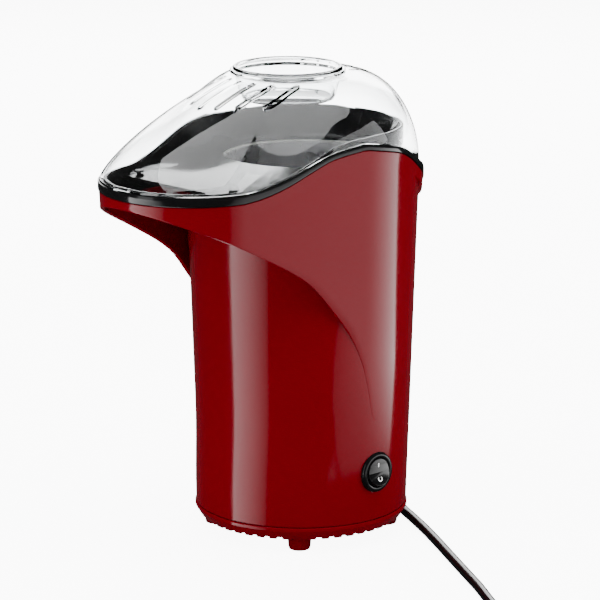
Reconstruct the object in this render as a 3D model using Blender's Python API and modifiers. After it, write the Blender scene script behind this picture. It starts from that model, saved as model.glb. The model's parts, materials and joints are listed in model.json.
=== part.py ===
"""A hot-air popcorn maker: a round column with a broad spout hood, a clear lid and a blower inside.

Units are metres and +Z is up. The spout points to -Y and the switch is on the +X side. The origin is
at the middle of the floor under the whole appliance, without its cord. Outlines are given around the
column's own axis: an angle of 0 points to the nose, 90 degrees to +X and 180 degrees to the back.
"""

import math

import bmesh
import bpy
import numpy as np
from mathutils import Matrix, Vector

MM = 0.001
GAP = 0.3 * MM  # between pieces that touch

# Plan of the column and the hood
BASE_RADIUS = 64.7 * MM  # column, at the seam above the base cover
RIM_RADIUS = 71.6 * MM  # column, at the height of the nose's rim
NOSE_RADIUS = 56.0 * MM
NOSE_REACH = 143.0 * MM  # from the column's axis to the nose
WALL = 2.6 * MM
FRONT_RECESS = 3.0 * MM  # how far the column's front stands back under the hood

# Heights
FOOT_HEIGHT = 8.0 * MM
SEAM_Z = 16.2 * MM  # between the base cover and the housing
SIDE_CREASE_Z = 80.0 * MM  # where the hood's lower edge fades into the side
NOSE_CREASE_Z = 219.0 * MM
LIP_Z = 211.0 * MM  # top of the column's front wall, inside the hood
NOSE_RIM_Z = 230.0 * MM
HUMP_Z = 250.5 * MM
BACK_RIM_Z = 207.0 * MM
LID_TOP_Z = 284.0 * MM
HUMP_FORWARD = 15.0 * MM  # the hump's top, forward of the column's axis

# Trim, chute and lid
TRIM_NOSE = 5.5 * MM  # height of the trim band
TRIM_SIDE = 3.4 * MM
TRIM_CATCH = 5.0 * MM
TRIM_PROUD = 0.6 * MM
CATCH_PROUD = 2.2 * MM  # raised catch band around the back
CATCH_HEIGHT = 7.0 * MM
FUNNEL_RADIUS = 62.0 * MM
FUNNEL_Z = 252.0 * MM
CHUTE_WALL = 2.0 * MM
LOCATING_LIP = 1.2 * MM
THROAT_RADIUS = 46.8 * MM
RAMP_Z = 233.5 * MM  # chute floor at the throat
RAMP_FALL = 0.125  # slope of the chute floor towards the nose
RAMP_END = 101.0 * MM
SKIRT_Z = 208.0 * MM
CHUTE_SCREW_SIDE = 41.0 * MM
CHUTE_SCREW_FORWARD = 94.0 * MM
LID_WALL = 2.0 * MM
CUP_FORWARD = 11.0 * MM
CUP_RADIUS = 34.6 * MM
CUP_DEPTH = 17.0 * MM
CUP_FLANGE = 1.8 * MM
VENT_PITCH = 10.0 * MM
VENT_WIDTH = 3.0 * MM
VENT_LENGTH = 28.0 * MM
VENTS_A_SIDE = 3

# Base
BASE_COVER_PROUD = 0.6 * MM
BASE_COVER_INSET = 4.3 * MM  # how far the cover's lower edge is drawn in
BASE_PLATE = 2.4 * MM
INTAKE_COUNT = 48
INTAKE_WIDTH = 4.0 * MM
INTAKE_DEPTH = 17.0 * MM
FOOT_RADIUS = 7.3 * MM
FOOT_ORBIT = 52.5 * MM
BOSS_RADIUS = 5.5 * MM
SCREW_RADIUS = 1.9 * MM
SCREW_HEAD_RADIUS = 3.7 * MM

# Blower, heater and chamber
CHASSIS_Z = 62.0 * MM
CHASSIS_PLATE = 2.0 * MM
CHASSIS_CUP_RADIUS = 52.0 * MM
CHASSIS_CUP_HEIGHT = 22.0 * MM
CHASSIS_SCREW_ORBIT = 56.3 * MM
MOTOR_RADIUS = 18.0 * MM
MOTOR_LENGTH = 34.0 * MM
MOTOR_SCREW_ORBIT = 11.0 * MM
SHAFT_RADIUS = 1.15 * MM
FAN_RADIUS = 42.0 * MM
FAN_HEIGHT = 12.0 * MM
FAN_BLADES = 8
CAN_RADIUS = 49.4 * MM
CAN_TOP_Z = 150.0 * MM
MICA_Z = 88.0 * MM
MICA_HEIGHT = 26.0 * MM
COIL_RADIUS = 41.0 * MM
COIL_TURNS = 4
CHAMBER_RADIUS = THROAT_RADIUS - GAP
CHAMBER_FLOOR_Z = 118.0 * MM
LOUVRE_COUNT = 12

# Switch
SWITCH_Z = 46.5 * MM
BEZEL_RADIUS = 12.25 * MM
BEZEL_DEPTH = 2.7 * MM
BARREL_RADIUS = 10.0 * MM
ROCKER_RADIUS = 8.6 * MM
ROCKER_TILT = math.radians(10.0)

# Cord, coil and plug
CORD_RADIUS = 3.1 * MM
CORD_EXIT_Z = SEAM_Z + GAP / 2
CORD_EXIT_ANGLE = math.radians(188)
RELIEF_ROOT = 4.7 * MM  # radius of the strain relief where it leaves the wall
RELIEF_END = 3.9 * MM
COIL_MIDDLE = (241.9 * MM, -73.0 * MM)  # where the stored length lies
COIL_MEAN_RADIUS = 34.1 * MM
COIL_LAYERS = 2
PLUG_LENGTH = 30.0 * MM
PLUG_WIDTH = 24.0 * MM
PLUG_THICKNESS = 14.0 * MM
PIN_LENGTH = 17.5 * MM
PIN_SPACING = 12.7 * MM

PARTS = "popcorn_maker"
CUTTERS = "cutters"

# Name: colour, roughness, metallic
LOOKS = {
    "red_plastic": ((0.195, 0.0, 0.002), 0.22, 0.0),
    "black_plastic": ((0.012, 0.012, 0.013), 0.18, 0.0),
    "clear_plastic": ((0.95, 0.96, 0.97), 0.05, 0.0),
    "bakelite": ((0.03, 0.025, 0.022), 0.5, 0.0),
    "aluminium": ((0.75, 0.75, 0.76), 0.32, 1.0),
    "steel": ((0.55, 0.55, 0.56), 0.35, 1.0),
    "copper": ((0.72, 0.32, 0.18), 0.35, 1.0),
    "mica": ((0.55, 0.48, 0.36), 0.6, 0.0),
    "silicone": ((0.6, 0.6, 0.58), 0.7, 0.0),
    "rubber": ((0.02, 0.02, 0.02), 0.6, 0.0),
    "board": ((0.25, 0.16, 0.06), 0.6, 0.0),
    "magnet": ((0.08, 0.08, 0.085), 0.55, 0.0),
    "brass": ((0.78, 0.6, 0.3), 0.3, 1.0),
}


# --- Curves and outlines -------------------------------------------------------------------------


def smooth_line(points):
    """A cubic through (x, y) points that never overshoots them, as a function of x."""
    xs, ys = (np.array(values) for values in zip(*points))
    slope = np.diff(ys) / np.diff(xs)
    tangent = np.concatenate([slope[:1], np.zeros(len(slope) - 1), slope[-1:]])
    for k in range(1, len(slope)):
        before, after = slope[k - 1], slope[k]
        if before * after > 0:
            tangent[k] = 2 * before * after / (before + after)

    def height(x):
        x = min(max(x, xs[0]), xs[-1])
        k = min(int(np.searchsorted(xs, x, side="right")) - 1, len(slope) - 1)
        width = xs[k + 1] - xs[k]
        u = (x - xs[k]) / width
        ends = (1 + 2 * u) * (1 - u) ** 2 * ys[k] + u * u * (3 - 2 * u) * ys[k + 1]
        return float(ends + u * (1 - u) * width * ((1 - u) * tangent[k] - u * tangent[k + 1]))

    return height


def mix(a, b, share):
    return a + (b - a) * share


def ease(low, high, x):
    """0 below low, 1 above high, and an S curve between."""
    u = min(max((x - low) / (high - low), 0.0), 1.0)
    return u * u * (3 - 2 * u)


# Share of the way from the nose to the hump, and share of the rise; then the fall to the back
RISE = smooth_line(((0, 0), (0.35, 0), (0.48, 0.11), (0.59, 0.3), (0.71, 0.58), (0.83, 0.84), (1, 1)))
FALL = smooth_line(((0, 0), (0.31, 0.12), (0.46, 0.24), (0.68, 0.51), (1, 1)))
# The hood's lower edge, from the side to the nose
CREASE = smooth_line(
    ((0, 0), (0.03, 0.14), (0.065, 0.26), (0.13, 0.39), (0.24, 0.53), (0.35, 0.65), (0.6, 0.8), (1, 1))
)
CREASE_START = 5.0 * MM

DRAFT = (RIM_RADIUS - BASE_RADIUS) / (NOSE_RIM_Z - SEAM_Z)
NOSE_CENTRE = NOSE_REACH - NOSE_RADIUS
TANGENT = math.acos((RIM_RADIUS - NOSE_RADIUS) / NOSE_CENTRE)


def column_radius(z):
    return BASE_RADIUS + DRAFT * (z - SEAM_Z)


def plan_angles(nose_steps=9, side_steps=6, back_steps=11):
    """Angles around the column's axis, closer together where the outline turns."""
    nose = [TANGENT * k / nose_steps for k in range(nose_steps + 1)]
    half = [
        math.atan2(NOSE_RADIUS * math.sin(a), NOSE_CENTRE + NOSE_RADIUS * math.cos(a)) for a in nose
    ]
    half += [mix(half[-1], TANGENT, k / side_steps) for k in range(1, side_steps + 1)]
    half += [mix(TANGENT, math.pi, k / back_steps) for k in range(1, back_steps + 1)]
    return half + [-angle for angle in reversed(half[1:-1])]


def outline(angle, z, inset=0.0):
    """Distance from the column's axis to the hood's outline: a large and a small circle, joined."""
    grow = DRAFT * (z - NOSE_RIM_Z) - inset
    big, small = RIM_RADIUS + grow, NOSE_RADIUS + grow
    angle = abs(angle)
    corner = math.atan2(small * math.sin(TANGENT), NOSE_CENTRE + small * math.cos(TANGENT))
    if angle >= TANGENT:
        return big
    if angle > corner:
        return big / math.cos(TANGENT - angle)
    across = NOSE_CENTRE * math.sin(angle)
    return NOSE_CENTRE * math.cos(angle) + math.sqrt(small**2 - across**2)


def front_radius(angle, z):
    """The column's outer face, which stands back under the hood."""
    recess = FRONT_RECESS * max(0.0, math.cos(angle)) ** 1.5
    return column_radius(z) - recess * ease(SEAM_Z, SIDE_CREASE_Z, z)


def rim_height(forward):
    """Top of the trim, at a distance forward of the column's axis."""
    if forward >= HUMP_FORWARD:
        way = (NOSE_REACH - forward) / (NOSE_REACH - HUMP_FORWARD)
        return mix(NOSE_RIM_Z, HUMP_Z, RISE(way))
    way = (HUMP_FORWARD - forward) / (HUMP_FORWARD + RIM_RADIUS)
    return mix(HUMP_Z, BACK_RIM_Z, FALL(way))


def rim_at(angle):
    """(radius, height) of the rim's outer edge at this angle."""
    radius = outline(angle, HUMP_Z)
    for _ in range(4):
        height = rim_height(radius * math.cos(angle))
        radius = outline(angle, height)
    return radius, height


def crease_height(forward):
    way = (forward - CREASE_START) / (NOSE_REACH - CREASE_START)
    return mix(SIDE_CREASE_Z, NOSE_CREASE_Z, CREASE(way))


def trim_height(angle):
    at_nose = mix(TRIM_SIDE, TRIM_NOSE, ease(0.5, 0.95, math.cos(angle)))
    return mix(at_nose, TRIM_CATCH, catch_share(angle))


def catch_share(angle):
    """1 around the back, where the trim and the housing stand out as a catch band."""
    return ease(math.radians(116), math.radians(126), abs(angle))


def catch_proud(angle):
    return CATCH_PROUD * catch_share(angle)


def trim_radius(angle):
    return outline(angle, rim_at(angle)[1], -(TRIM_PROUD + catch_proud(angle)))


ANGLES = plan_angles()
BACK_REACH = max(-trim_radius(angle) * math.cos(angle) for angle in ANGLES)
AXIS_Y = (trim_radius(0.0) - BACK_REACH) / 2


# --- Making objects ------------------------------------------------------------------------------


def clear_scene():
    for obj in list(bpy.data.objects):
        bpy.data.objects.remove(obj, do_unlink=True)


def collection(name):
    found = bpy.data.collections.get(name)
    if found is None:
        found = bpy.data.collections.new(name)
        bpy.context.scene.collection.children.link(found)
    return found


def material(look):
    found = bpy.data.materials.get(look)
    if found is None:
        colour, roughness, metallic = LOOKS[look]
        found = bpy.data.materials.new(look)
        found.use_nodes = True
        shader = found.node_tree.nodes["Principled BSDF"]
        shader.inputs["Base Color"].default_value = (*colour, 1.0)
        shader.inputs["Roughness"].default_value = roughness
        shader.inputs["Metallic"].default_value = metallic
    return found


def add_object(name, data, look, place=(0, 0, 0)):
    """Links an object into the parts' collection, or into the cutters' when it has no look."""
    obj = bpy.data.objects.new(name, data)
    obj.location = place
    if look:
        data.materials.append(material(look))
        collection(PARTS).objects.link(obj)
    else:
        collection(CUTTERS).objects.link(obj)
        obj.hide_render = True
        obj.display_type = "WIRE"
    return obj


def mesh_object(name, bm, look, place=(0, 0, 0)):
    mesh = bpy.data.meshes.new(name)
    bm.to_mesh(mesh)
    bm.free()
    if look:
        mesh.shade_smooth()
        mesh.set_sharp_from_angle(angle=math.radians(30))
    return add_object(name, mesh, look, place)


def loft(name, rings, look, place=(0, 0, 0), filled=False):
    """A closed skin over rings of points, taken down the outer side and back up the inner one.

    A filled loft is one whose first and last rings shrink to a point on the axis.
    """
    bm = bmesh.new()
    rows = [[bm.verts.new(point) for point in ring] for ring in rings]
    pairs = list(zip(rows, rows[1:]))
    if not filled:
        pairs.append((rows[-1], rows[0]))
    for upper, lower in pairs:
        for k in range(len(upper)):
            after = (k + 1) % len(upper)
            bm.faces.new((upper[k], lower[k], lower[after], upper[after]))
    bmesh.ops.remove_doubles(bm, verts=bm.verts, dist=1e-6)
    return mesh_object(name, bm, look, place)


def wrap(name, section, look, filled=False, angles=None):
    """A turned shape whose section, a list of (radius, height), changes with the angle."""
    angles = angles or ANGLES
    sections = [section(angle) for angle in angles]
    rings = [
        [
            (chain[k][0] * math.sin(angle), -chain[k][0] * math.cos(angle), chain[k][1])
            for angle, chain in zip(angles, sections)
        ]
        for k in range(len(sections[0]))
    ]
    return loft(name, rings, look, (0, AXIS_Y, 0), filled)


def turn(name, profile, look, place=(0, 0, 0), steps=40, closed=True):
    """A profile of (radius, height), down its outer side, turned about the piece's own Z."""
    mesh = bpy.data.meshes.new(name)
    count = len(profile)
    edges = [(k, (k + 1) % count) for k in range(count if closed else count - 1)]
    mesh.from_pydata([(radius, 0, height) for radius, height in profile], edges, [])
    obj = add_object(name, mesh, look, place)
    screw = obj.modifiers.new("turn", "SCREW")
    screw.steps = screw.render_steps = steps
    screw.use_merge_vertices = True
    screw.merge_threshold = 0.00001
    screw.use_smooth_shade = True
    return obj


def rod(name, radius, low, high, look, place=(0, 0, 0), steps=20):
    """An upright round bar."""
    profile = ((0, high), (radius, high), (radius, low), (0, low))
    return turn(name, profile, look, place, steps, closed=False)


def ring(name, outer, inner, low, high, look, place=(0, 0, 0), steps=40):
    profile = ((outer, high), (outer, low), (inner, low), (inner, high))
    return turn(name, profile, look, place, steps)


def block_into(bm, size, centre, turn_z=0.0, tilt=0.0):
    """Adds a box: its long side is tilted about its own X, then turned about the frame's Z."""
    matrix = (
        Matrix.Rotation(turn_z, 4, "Z")
        @ Matrix.Translation(centre)
        @ Matrix.Rotation(tilt, 4, "X")
        @ Matrix.Diagonal((*size, 1.0))
    )
    bmesh.ops.create_cube(bm, size=1.0, matrix=matrix)


def drum_into(bm, radius, low, high, centre, steps=20):
    matrix = Matrix.Translation((centre[0], centre[1], (low + high) / 2))
    bmesh.ops.create_cone(
        bm,
        cap_ends=True,
        segments=steps,
        radius1=radius,
        radius2=radius,
        depth=high - low,
        matrix=matrix,
    )


def join(obj, other, operation="DIFFERENCE"):
    """Cuts or joins another object's shape."""
    modifier = obj.modifiers.new(other.name, "BOOLEAN")
    modifier.operation = operation
    modifier.solver = "EXACT"
    modifier.object = other
    return obj


def around(count, orbit, start=0.0):
    """Places evenly around the column's axis, as (angle, x, y)."""
    for k in range(count):
        angle = start + 2 * math.pi * k / count
        yield angle, orbit * math.sin(angle), -orbit * math.cos(angle)


DIAGONAL = math.pi / 4
AXIS = (0, AXIS_Y, 0)


# --- Housing and base ----------------------------------------------------------------------------


def housing_top(angle):
    radius, height = rim_at(angle)
    return radius, height - trim_height(angle) - GAP


def housing_section(angle):
    """The column with the hood on it, both solid."""
    top_radius, top = housing_top(angle)
    crease = crease_height(outline(angle, NOSE_CREASE_Z) * math.cos(angle))
    step = 0.6 * MM
    catch = catch_proud(angle)
    catch_z = max(top - CATCH_HEIGHT, crease + 2 * step)
    levels = [mix(SEAM_Z + GAP, crease, share) for share in (0.6, 0.3, 0.0)]
    column = [(front_radius(angle, z), z) for z in levels]
    return (
        [
            (0, top),
            (top_radius - 3 * WALL, top),
            (top_radius + catch, top),
            (outline(angle, catch_z) + catch, catch_z),
            (outline(angle, catch_z - step), catch_z - step),
            (outline(angle, crease + step), crease + step),
            (front_radius(angle, crease), crease),
        ]
        + column
        + [(0, SEAM_Z + GAP)]
    )


def housing_void_section(angle):
    """The inside of the column, and of the hood above the column's front wall."""
    above = FUNNEL_Z + 10 * MM
    below = SEAM_Z - 5 * MM
    over_lip = LIP_Z + 0.5 * MM
    levels = (LIP_Z, mix(SEAM_Z, LIP_Z, 0.5), SIDE_CREASE_Z, mix(SEAM_Z, SIDE_CREASE_Z, 0.5), below)
    return (
        [
            (0, above),
            (outline(angle, above, WALL), above),
            (outline(angle, over_lip, WALL), over_lip),
        ]
        + [(front_radius(angle, z) - WALL, z) for z in levels]
        + [(0, below)]
    )


def outlet_angles():
    """The front angles at which the hood's wall is clear of the column's."""
    least = 1.0 * MM
    clear = [
        angle
        for angle in ANGLES
        if outline(angle, SIDE_CREASE_Z, WALL) - front_radius(angle, SIDE_CREASE_Z) > least
    ]
    return sorted(clear)


def outlet_void():
    """The space under the hood, in front of the column."""
    levels = (LIP_Z + 1 * MM, mix(SIDE_CREASE_Z, LIP_Z, 0.5), SIDE_CREASE_Z - 20 * MM)
    shy = WALL + 0.05 * MM
    clear = 0.2 * MM  # so that the cut stays off the column's face below the hood
    bm = bmesh.new()
    sections = []
    for angle in outlet_angles():
        chain = [(outline(angle, z, shy), z) for z in levels]
        chain += [(front_radius(angle, z) + clear, z) for z in reversed(levels)]
        sections.append(
            [bm.verts.new((r * math.sin(angle), -r * math.cos(angle), z)) for r, z in chain]
        )
    count = len(sections[0])
    for first, second in zip(sections, sections[1:]):
        for k in range(count):
            after = (k + 1) % count
            bm.faces.new((first[k], first[after], second[after], second[k]))
    bm.faces.new(list(reversed(sections[0])))
    bm.faces.new(sections[-1])
    bmesh.ops.recalc_face_normals(bm, faces=bm.faces)
    return mesh_object("outlet_void", bm, None, AXIS)


def add_posts(housing):
    """Four posts on the inside of the wall, which take the base screws and carry the chassis."""
    wall_inside = column_radius(SEAM_Z) - WALL
    low_z, web_z, top_z = FOOT_HEIGHT + BASE_PLATE + GAP, SEAM_Z + 6 * MM, CHASSIS_Z - GAP
    posts, webs, carriers = bmesh.new(), bmesh.new(), bmesh.new()
    for angle, x, y in around(4, 1.0, DIAGONAL):
        drum_into(posts, BOSS_RADIUS, low_z, 40 * MM, (x * FOOT_ORBIT, y * FOOT_ORBIT))
        orbit = CHASSIS_SCREW_ORBIT
        drum_into(carriers, 4 * MM, 36 * MM, top_z, (x * orbit, y * orbit))
        reach = wall_inside + 0.5 * WALL - FOOT_ORBIT
        size = (3 * MM, reach, top_z - 2 * MM - web_z)
        middle = (0, -(FOOT_ORBIT + reach / 2), (top_z - 2 * MM + web_z) / 2)
        block_into(webs, size, middle, angle)
    for name, bm in (("webs", webs), ("posts", posts), ("carriers", carriers)):
        join(housing, mesh_object(f"housing_{name}", bm, None, AXIS), "UNION")


def post_holes():
    bm = bmesh.new()
    for _, x, y in around(4, 1.0, DIAGONAL):
        drum_into(bm, SCREW_RADIUS + GAP, 5 * MM, 25 * MM, (x * FOOT_ORBIT, y * FOOT_ORBIT), 12)
        orbit = CHASSIS_SCREW_ORBIT
        drum_into(bm, 1.5 * MM + GAP, 50 * MM, 70 * MM, (x * orbit, y * orbit), 12)
    return mesh_object("post_holes", bm, None, AXIS)


def switch_face_x():
    """Where the bezel's back lies, in a flat spot on the column's side."""
    return column_radius(SWITCH_Z) - 1.0 * MM


def along_x(obj):
    """Turns a piece that was made about Z so that its top faces +X."""
    obj.rotation_euler = (0, math.pi / 2, 0)
    return obj


def switch_hole():
    face = switch_face_x()
    profile = (
        (0, face + 10 * MM),
        (BEZEL_RADIUS + GAP, face + 10 * MM),
        (BEZEL_RADIUS + GAP, face - GAP),
        (BARREL_RADIUS + GAP, face - GAP),
        (BARREL_RADIUS + GAP, face - 12 * MM),
        (0, face - 12 * MM),
    )
    return along_x(turn("switch_hole", profile, None, (0, AXIS_Y, SWITCH_Z), closed=False))


def cord_hole(name):
    """A radial hole on the seam, half in the housing and half in the base cover."""
    hole = rod(name, RELIEF_ROOT + GAP, 50 * MM, 80 * MM, None, (0, AXIS_Y, CORD_EXIT_Z))
    hole.rotation_euler = (math.pi / 2, 0, CORD_EXIT_ANGLE)
    return hole


def make_housing():
    housing = wrap("housing", housing_section, "red_plastic", filled=True)
    void = wrap("housing_void", housing_void_section, None, filled=True)
    join(housing, void)
    join(housing, outlet_void())
    add_posts(housing)
    join(housing, post_holes())
    join(housing, switch_hole())
    join(housing, cord_hole("cord_hole"))
    return housing


def make_base_cover():
    outer = BASE_RADIUS + BASE_COVER_PROUD
    spigot = BASE_RADIUS - WALL - 2 * GAP
    plate = FOOT_HEIGHT + BASE_PLATE
    spigot_top = SEAM_Z + 5 * MM
    profile = (
        (0, plate),
        (spigot - 3 * MM, plate),
        (spigot - 2.2 * MM, plate + 2 * MM),
        (spigot - 2.2 * MM, spigot_top),
        (spigot, spigot_top),
        (spigot, SEAM_Z),
        (outer, SEAM_Z),
        (outer, SEAM_Z - 2 * MM),
        (outer - BASE_COVER_INSET, FOOT_HEIGHT),
        (0, FOOT_HEIGHT),
    )
    cover = turn("base_cover", profile, "red_plastic", AXIS, steps=48, closed=False)
    bm = bmesh.new()
    middle = outer - INTAKE_DEPTH / 2
    height = SEAM_Z - 3 * MM - FOOT_HEIGHT
    for angle, _, _ in around(INTAKE_COUNT, 1.0, math.pi / INTAKE_COUNT):
        from_foot = abs((angle + DIAGONAL) % (2 * DIAGONAL) - DIAGONAL)
        near_foot = abs(from_foot - DIAGONAL) * FOOT_ORBIT < BOSS_RADIUS + INTAKE_WIDTH
        size = (INTAKE_WIDTH, INTAKE_DEPTH, height)
        if not near_foot:
            block_into(bm, size, (0, -middle, FOOT_HEIGHT - 1 * MM), angle)
    join(cover, mesh_object("intake_slots", bm, None, AXIS))
    bm = bmesh.new()
    for _, x, y in around(4, FOOT_ORBIT, DIAGONAL):
        drum_into(bm, SCREW_RADIUS + GAP, FOOT_HEIGHT - 5 * MM, plate + 5 * MM, (x, y), 12)
    join(cover, mesh_object("base_screw_holes", bm, None, AXIS))
    return join(cover, cord_hole("cord_notch"))


CORNERS = ("front_right", "rear_right", "rear_left", "front_left")


def make_feet():
    bore = SCREW_RADIUS + GAP
    pocket = SCREW_HEAD_RADIUS + GAP
    pocket_z = 4.6 * MM
    profile = (
        (FOOT_RADIUS, FOOT_HEIGHT - GAP),
        (FOOT_RADIUS - 0.6 * MM, 1 * MM),
        (FOOT_RADIUS - 1.4 * MM, 0),
        (pocket, 0),
        (pocket, pocket_z),
        (bore, pocket_z),
        (bore, FOOT_HEIGHT - GAP),
    )
    head_z = pocket_z - GAP
    screw = (
        (0, 20 * MM),
        (SCREW_RADIUS, 20 * MM),
        (SCREW_RADIUS, head_z),
        (SCREW_HEAD_RADIUS, head_z),
        (SCREW_HEAD_RADIUS, head_z - 1.4 * MM),
        (SCREW_HEAD_RADIUS - 1 * MM, head_z - 2.2 * MM),
        (0, head_z - 2.2 * MM),
    )
    for corner, (_, x, y) in zip(CORNERS, around(4, FOOT_ORBIT, DIAGONAL)):
        place = (x, y + AXIS_Y, 0)
        turn(f"foot_{corner}", profile, "red_plastic", place, 20)
        turn(f"base_screw_{corner}", screw, "steel", place, 12, closed=False)


# --- Chute, lid and cup --------------------------------------------------------------------------


def ramp_height(forward):
    return RAMP_Z - RAMP_FALL * max(0.0, forward - THROAT_RADIUS)


def backness(angle):
    """0 along the spout, 1 around the back where the funnel is round."""
    return ease(math.radians(50), math.radians(95), abs(angle))


def chute_section(angle):
    rim = rim_at(angle)[1]
    back = backness(angle)
    cosine = math.cos(angle)
    outer = trim_radius(angle)
    under_trim = rim - trim_height(angle)
    seat = outline(angle, rim, WALL + 2 * GAP)
    lip = mix(seat, FUNNEL_RADIUS, back)
    lip_z = mix(rim + LOCATING_LIP, FUNNEL_Z, back)
    foot = mix(outline(angle, rim, WALL + 2 * GAP + CHUTE_WALL), THROAT_RADIUS + 2 * MM, back)
    foot_z = mix(ramp_height(foot * cosine), RAMP_Z + 1.5 * MM, back)
    skirt = FUNNEL_RADIUS
    deck_z = under_trim - 0.5 * MM
    skirt_z = min(SKIRT_Z, deck_z - 2 * CHUTE_WALL)
    liner = outline(angle, foot_z - CHUTE_WALL, WALL + 2 * GAP)
    return [
        (lip, lip_z),
        (lip, rim),
        (outer, rim),
        (outer, under_trim),
        (seat, under_trim),
        (mix(liner, skirt + 2 * MM, back), mix(foot_z - CHUTE_WALL, deck_z, back)),
        (skirt, mix(ramp_height(skirt * cosine) - CHUTE_WALL, deck_z, back)),
        (skirt, skirt_z),
        (skirt - CHUTE_WALL, skirt_z),
        (skirt - CHUTE_WALL, mix(ramp_height(skirt * cosine) - CHUTE_WALL, FUNNEL_Z - 6 * MM, back)),
        (THROAT_RADIUS + 3 * MM, RAMP_Z - CHUTE_WALL),
        (THROAT_RADIUS, RAMP_Z - CHUTE_WALL),
        (THROAT_RADIUS, RAMP_Z),
        (foot, foot_z),
        (lip - CHUTE_WALL, lip_z),
    ]


def nose_prism(name, inset, start, low, high):
    """An upright prism with the nose's outline, drawn in, and forward of a straight edge."""
    radius = NOSE_RADIUS - inset
    half = math.acos((start - NOSE_CENTRE) / radius)
    steps = 20
    bm = bmesh.new()
    points = []
    for k in range(steps + 1):
        angle = mix(-half, half, k / steps)
        forward = NOSE_CENTRE + radius * math.cos(angle)
        points.append((radius * math.sin(angle), -forward))
    face = bm.faces.new([bm.verts.new((x, y, low)) for x, y in points])
    grown = bmesh.ops.extrude_face_region(bm, geom=[face])
    top = [item for item in grown["geom"] if isinstance(item, bmesh.types.BMVert)]
    bmesh.ops.translate(bm, verts=top, vec=(0, 0, high - low))
    bmesh.ops.recalc_face_normals(bm, faces=bm.faces)
    return mesh_object(name, bm, None, AXIS)


def make_chute():
    chute = wrap("chute", chute_section, "black_plastic")
    inset = WALL + 2 * GAP + CHUTE_WALL + 1 * MM
    join(chute, nose_prism("outlet_cut", inset, RAMP_END, LIP_Z, NOSE_RIM_Z + 20 * MM))
    bm = bmesh.new()
    for side in (-1, 1):
        centre = (side * CHUTE_SCREW_SIDE, -CHUTE_SCREW_FORWARD)
        floor = ramp_height(CHUTE_SCREW_FORWARD)
        drum_into(bm, 1.5 * MM + GAP, floor - 10 * MM, floor + 10 * MM, centre, 12)
    join(chute, mesh_object("chute_screw_holes", bm, None, AXIS))
    screw = (
        (0, 1.6 * MM),
        (2.2 * MM, 1.6 * MM),
        (3 * MM, 0.6 * MM),
        (3 * MM, GAP),
        (1.5 * MM, GAP),
        (1.5 * MM, -9 * MM),
        (0, -9 * MM),
    )
    for side, hand in ((-1, "left"), (1, "right")):
        place = (side * CHUTE_SCREW_SIDE, AXIS_Y - CHUTE_SCREW_FORWARD, floor + 0.7 * MM)
        turn(f"chute_screw_{hand}", screw, "steel", place, 16, closed=False)
    return chute


def lid_bulge(angle):
    """How full the dome is: almost straight down to the nose, round at the back."""
    return 1.3 + 1.3 * ((1 - math.cos(angle)) / 2) ** 2


def lid_ring(rise, inset, drop):
    """A ring of the dome, from 0 at the rim to 1 at the cup's seat."""
    seat = CUP_RADIUS - 1.6 * MM
    ring_points = []
    for angle in ANGLES:
        rim = rim_at(angle)[1]
        radius = outline(angle, rim, inset)
        power = 2 / lid_bulge(angle)
        turn_angle = rise * math.pi / 2
        inward = 1 - math.cos(turn_angle) ** power
        upward = math.sin(turn_angle) ** power
        start = Vector((radius * math.sin(angle), -radius * math.cos(angle)))
        end = Vector((seat * math.sin(angle), -CUP_FORWARD - seat * math.cos(angle)))
        at = start.lerp(end, inward)
        low = rim + GAP
        ring_points.append((at.x, at.y, mix(low, LID_TOP_Z - drop, upward)))
    return ring_points


def make_lid():
    rises = (1.0, 0.8, 0.6, 0.42, 0.25, 0.1)
    outer = [lid_ring(rise, 0.2 * MM, 0.0) for rise in rises]
    rim_outer = lid_ring(0.0, 0.2 * MM, 0.0)
    rim_inner = lid_ring(0.0, LID_WALL, 0.0)
    inner = [lid_ring(rise, LID_WALL + 0.2 * MM, LID_WALL) for rise in reversed(rises)]
    lid = loft("lid", outer + [rim_outer, rim_inner] + inner, "clear_plastic", AXIS)
    bm = bmesh.new()
    for k in range(-VENTS_A_SIDE, VENTS_A_SIDE + 1):
        side = k * VENT_PITCH
        clear = math.sqrt((CUP_RADIUS + 7 * MM) ** 2 - side**2)
        length = VENT_LENGTH - 0.25 * abs(side)
        size = (VENT_WIDTH, length, 60 * MM)
        forward = CUP_FORWARD + clear + length / 2
        block_into(bm, size, (side, -forward, LID_TOP_Z))
        if abs(k) < VENTS_A_SIDE:
            size = (VENT_WIDTH, 0.6 * length, 60 * MM)
            forward = CUP_FORWARD - clear - 0.3 * length
            block_into(bm, size, (side, -forward, LID_TOP_Z))
    return join(lid, mesh_object("lid_vents", bm, None, AXIS))


def make_cup():
    wall = 1.5 * MM
    low = LID_TOP_Z + GAP
    flange_top = low + CUP_FLANGE
    top = flange_top + 1.8 * MM
    bowl = CUP_RADIUS - 2.8 * MM
    floor = low - CUP_DEPTH
    profile = (
        (0, floor + wall),
        (bowl - 8 * MM, floor + wall),
        (bowl - 4 * MM, floor + 4 * MM),
        (bowl - 1.6 * MM, flange_top),
        (bowl - 0.8 * MM, top),
        (bowl + 0.4 * MM, top),
        (bowl + 1.2 * MM, flange_top),
        (CUP_RADIUS, flange_top),
        (CUP_RADIUS, low),
        (bowl - 0.2 * MM, low),
        (bowl - 2.6 * MM, floor + 3.4 * MM),
        (bowl - 6.6 * MM, floor),
        (0, floor),
    )
    place = (0, AXIS_Y - CUP_FORWARD, 0)
    return turn("measuring_cup", profile, "clear_plastic", place, 40, closed=False)


# --- Popping chamber and heater ------------------------------------------------------------------


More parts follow.
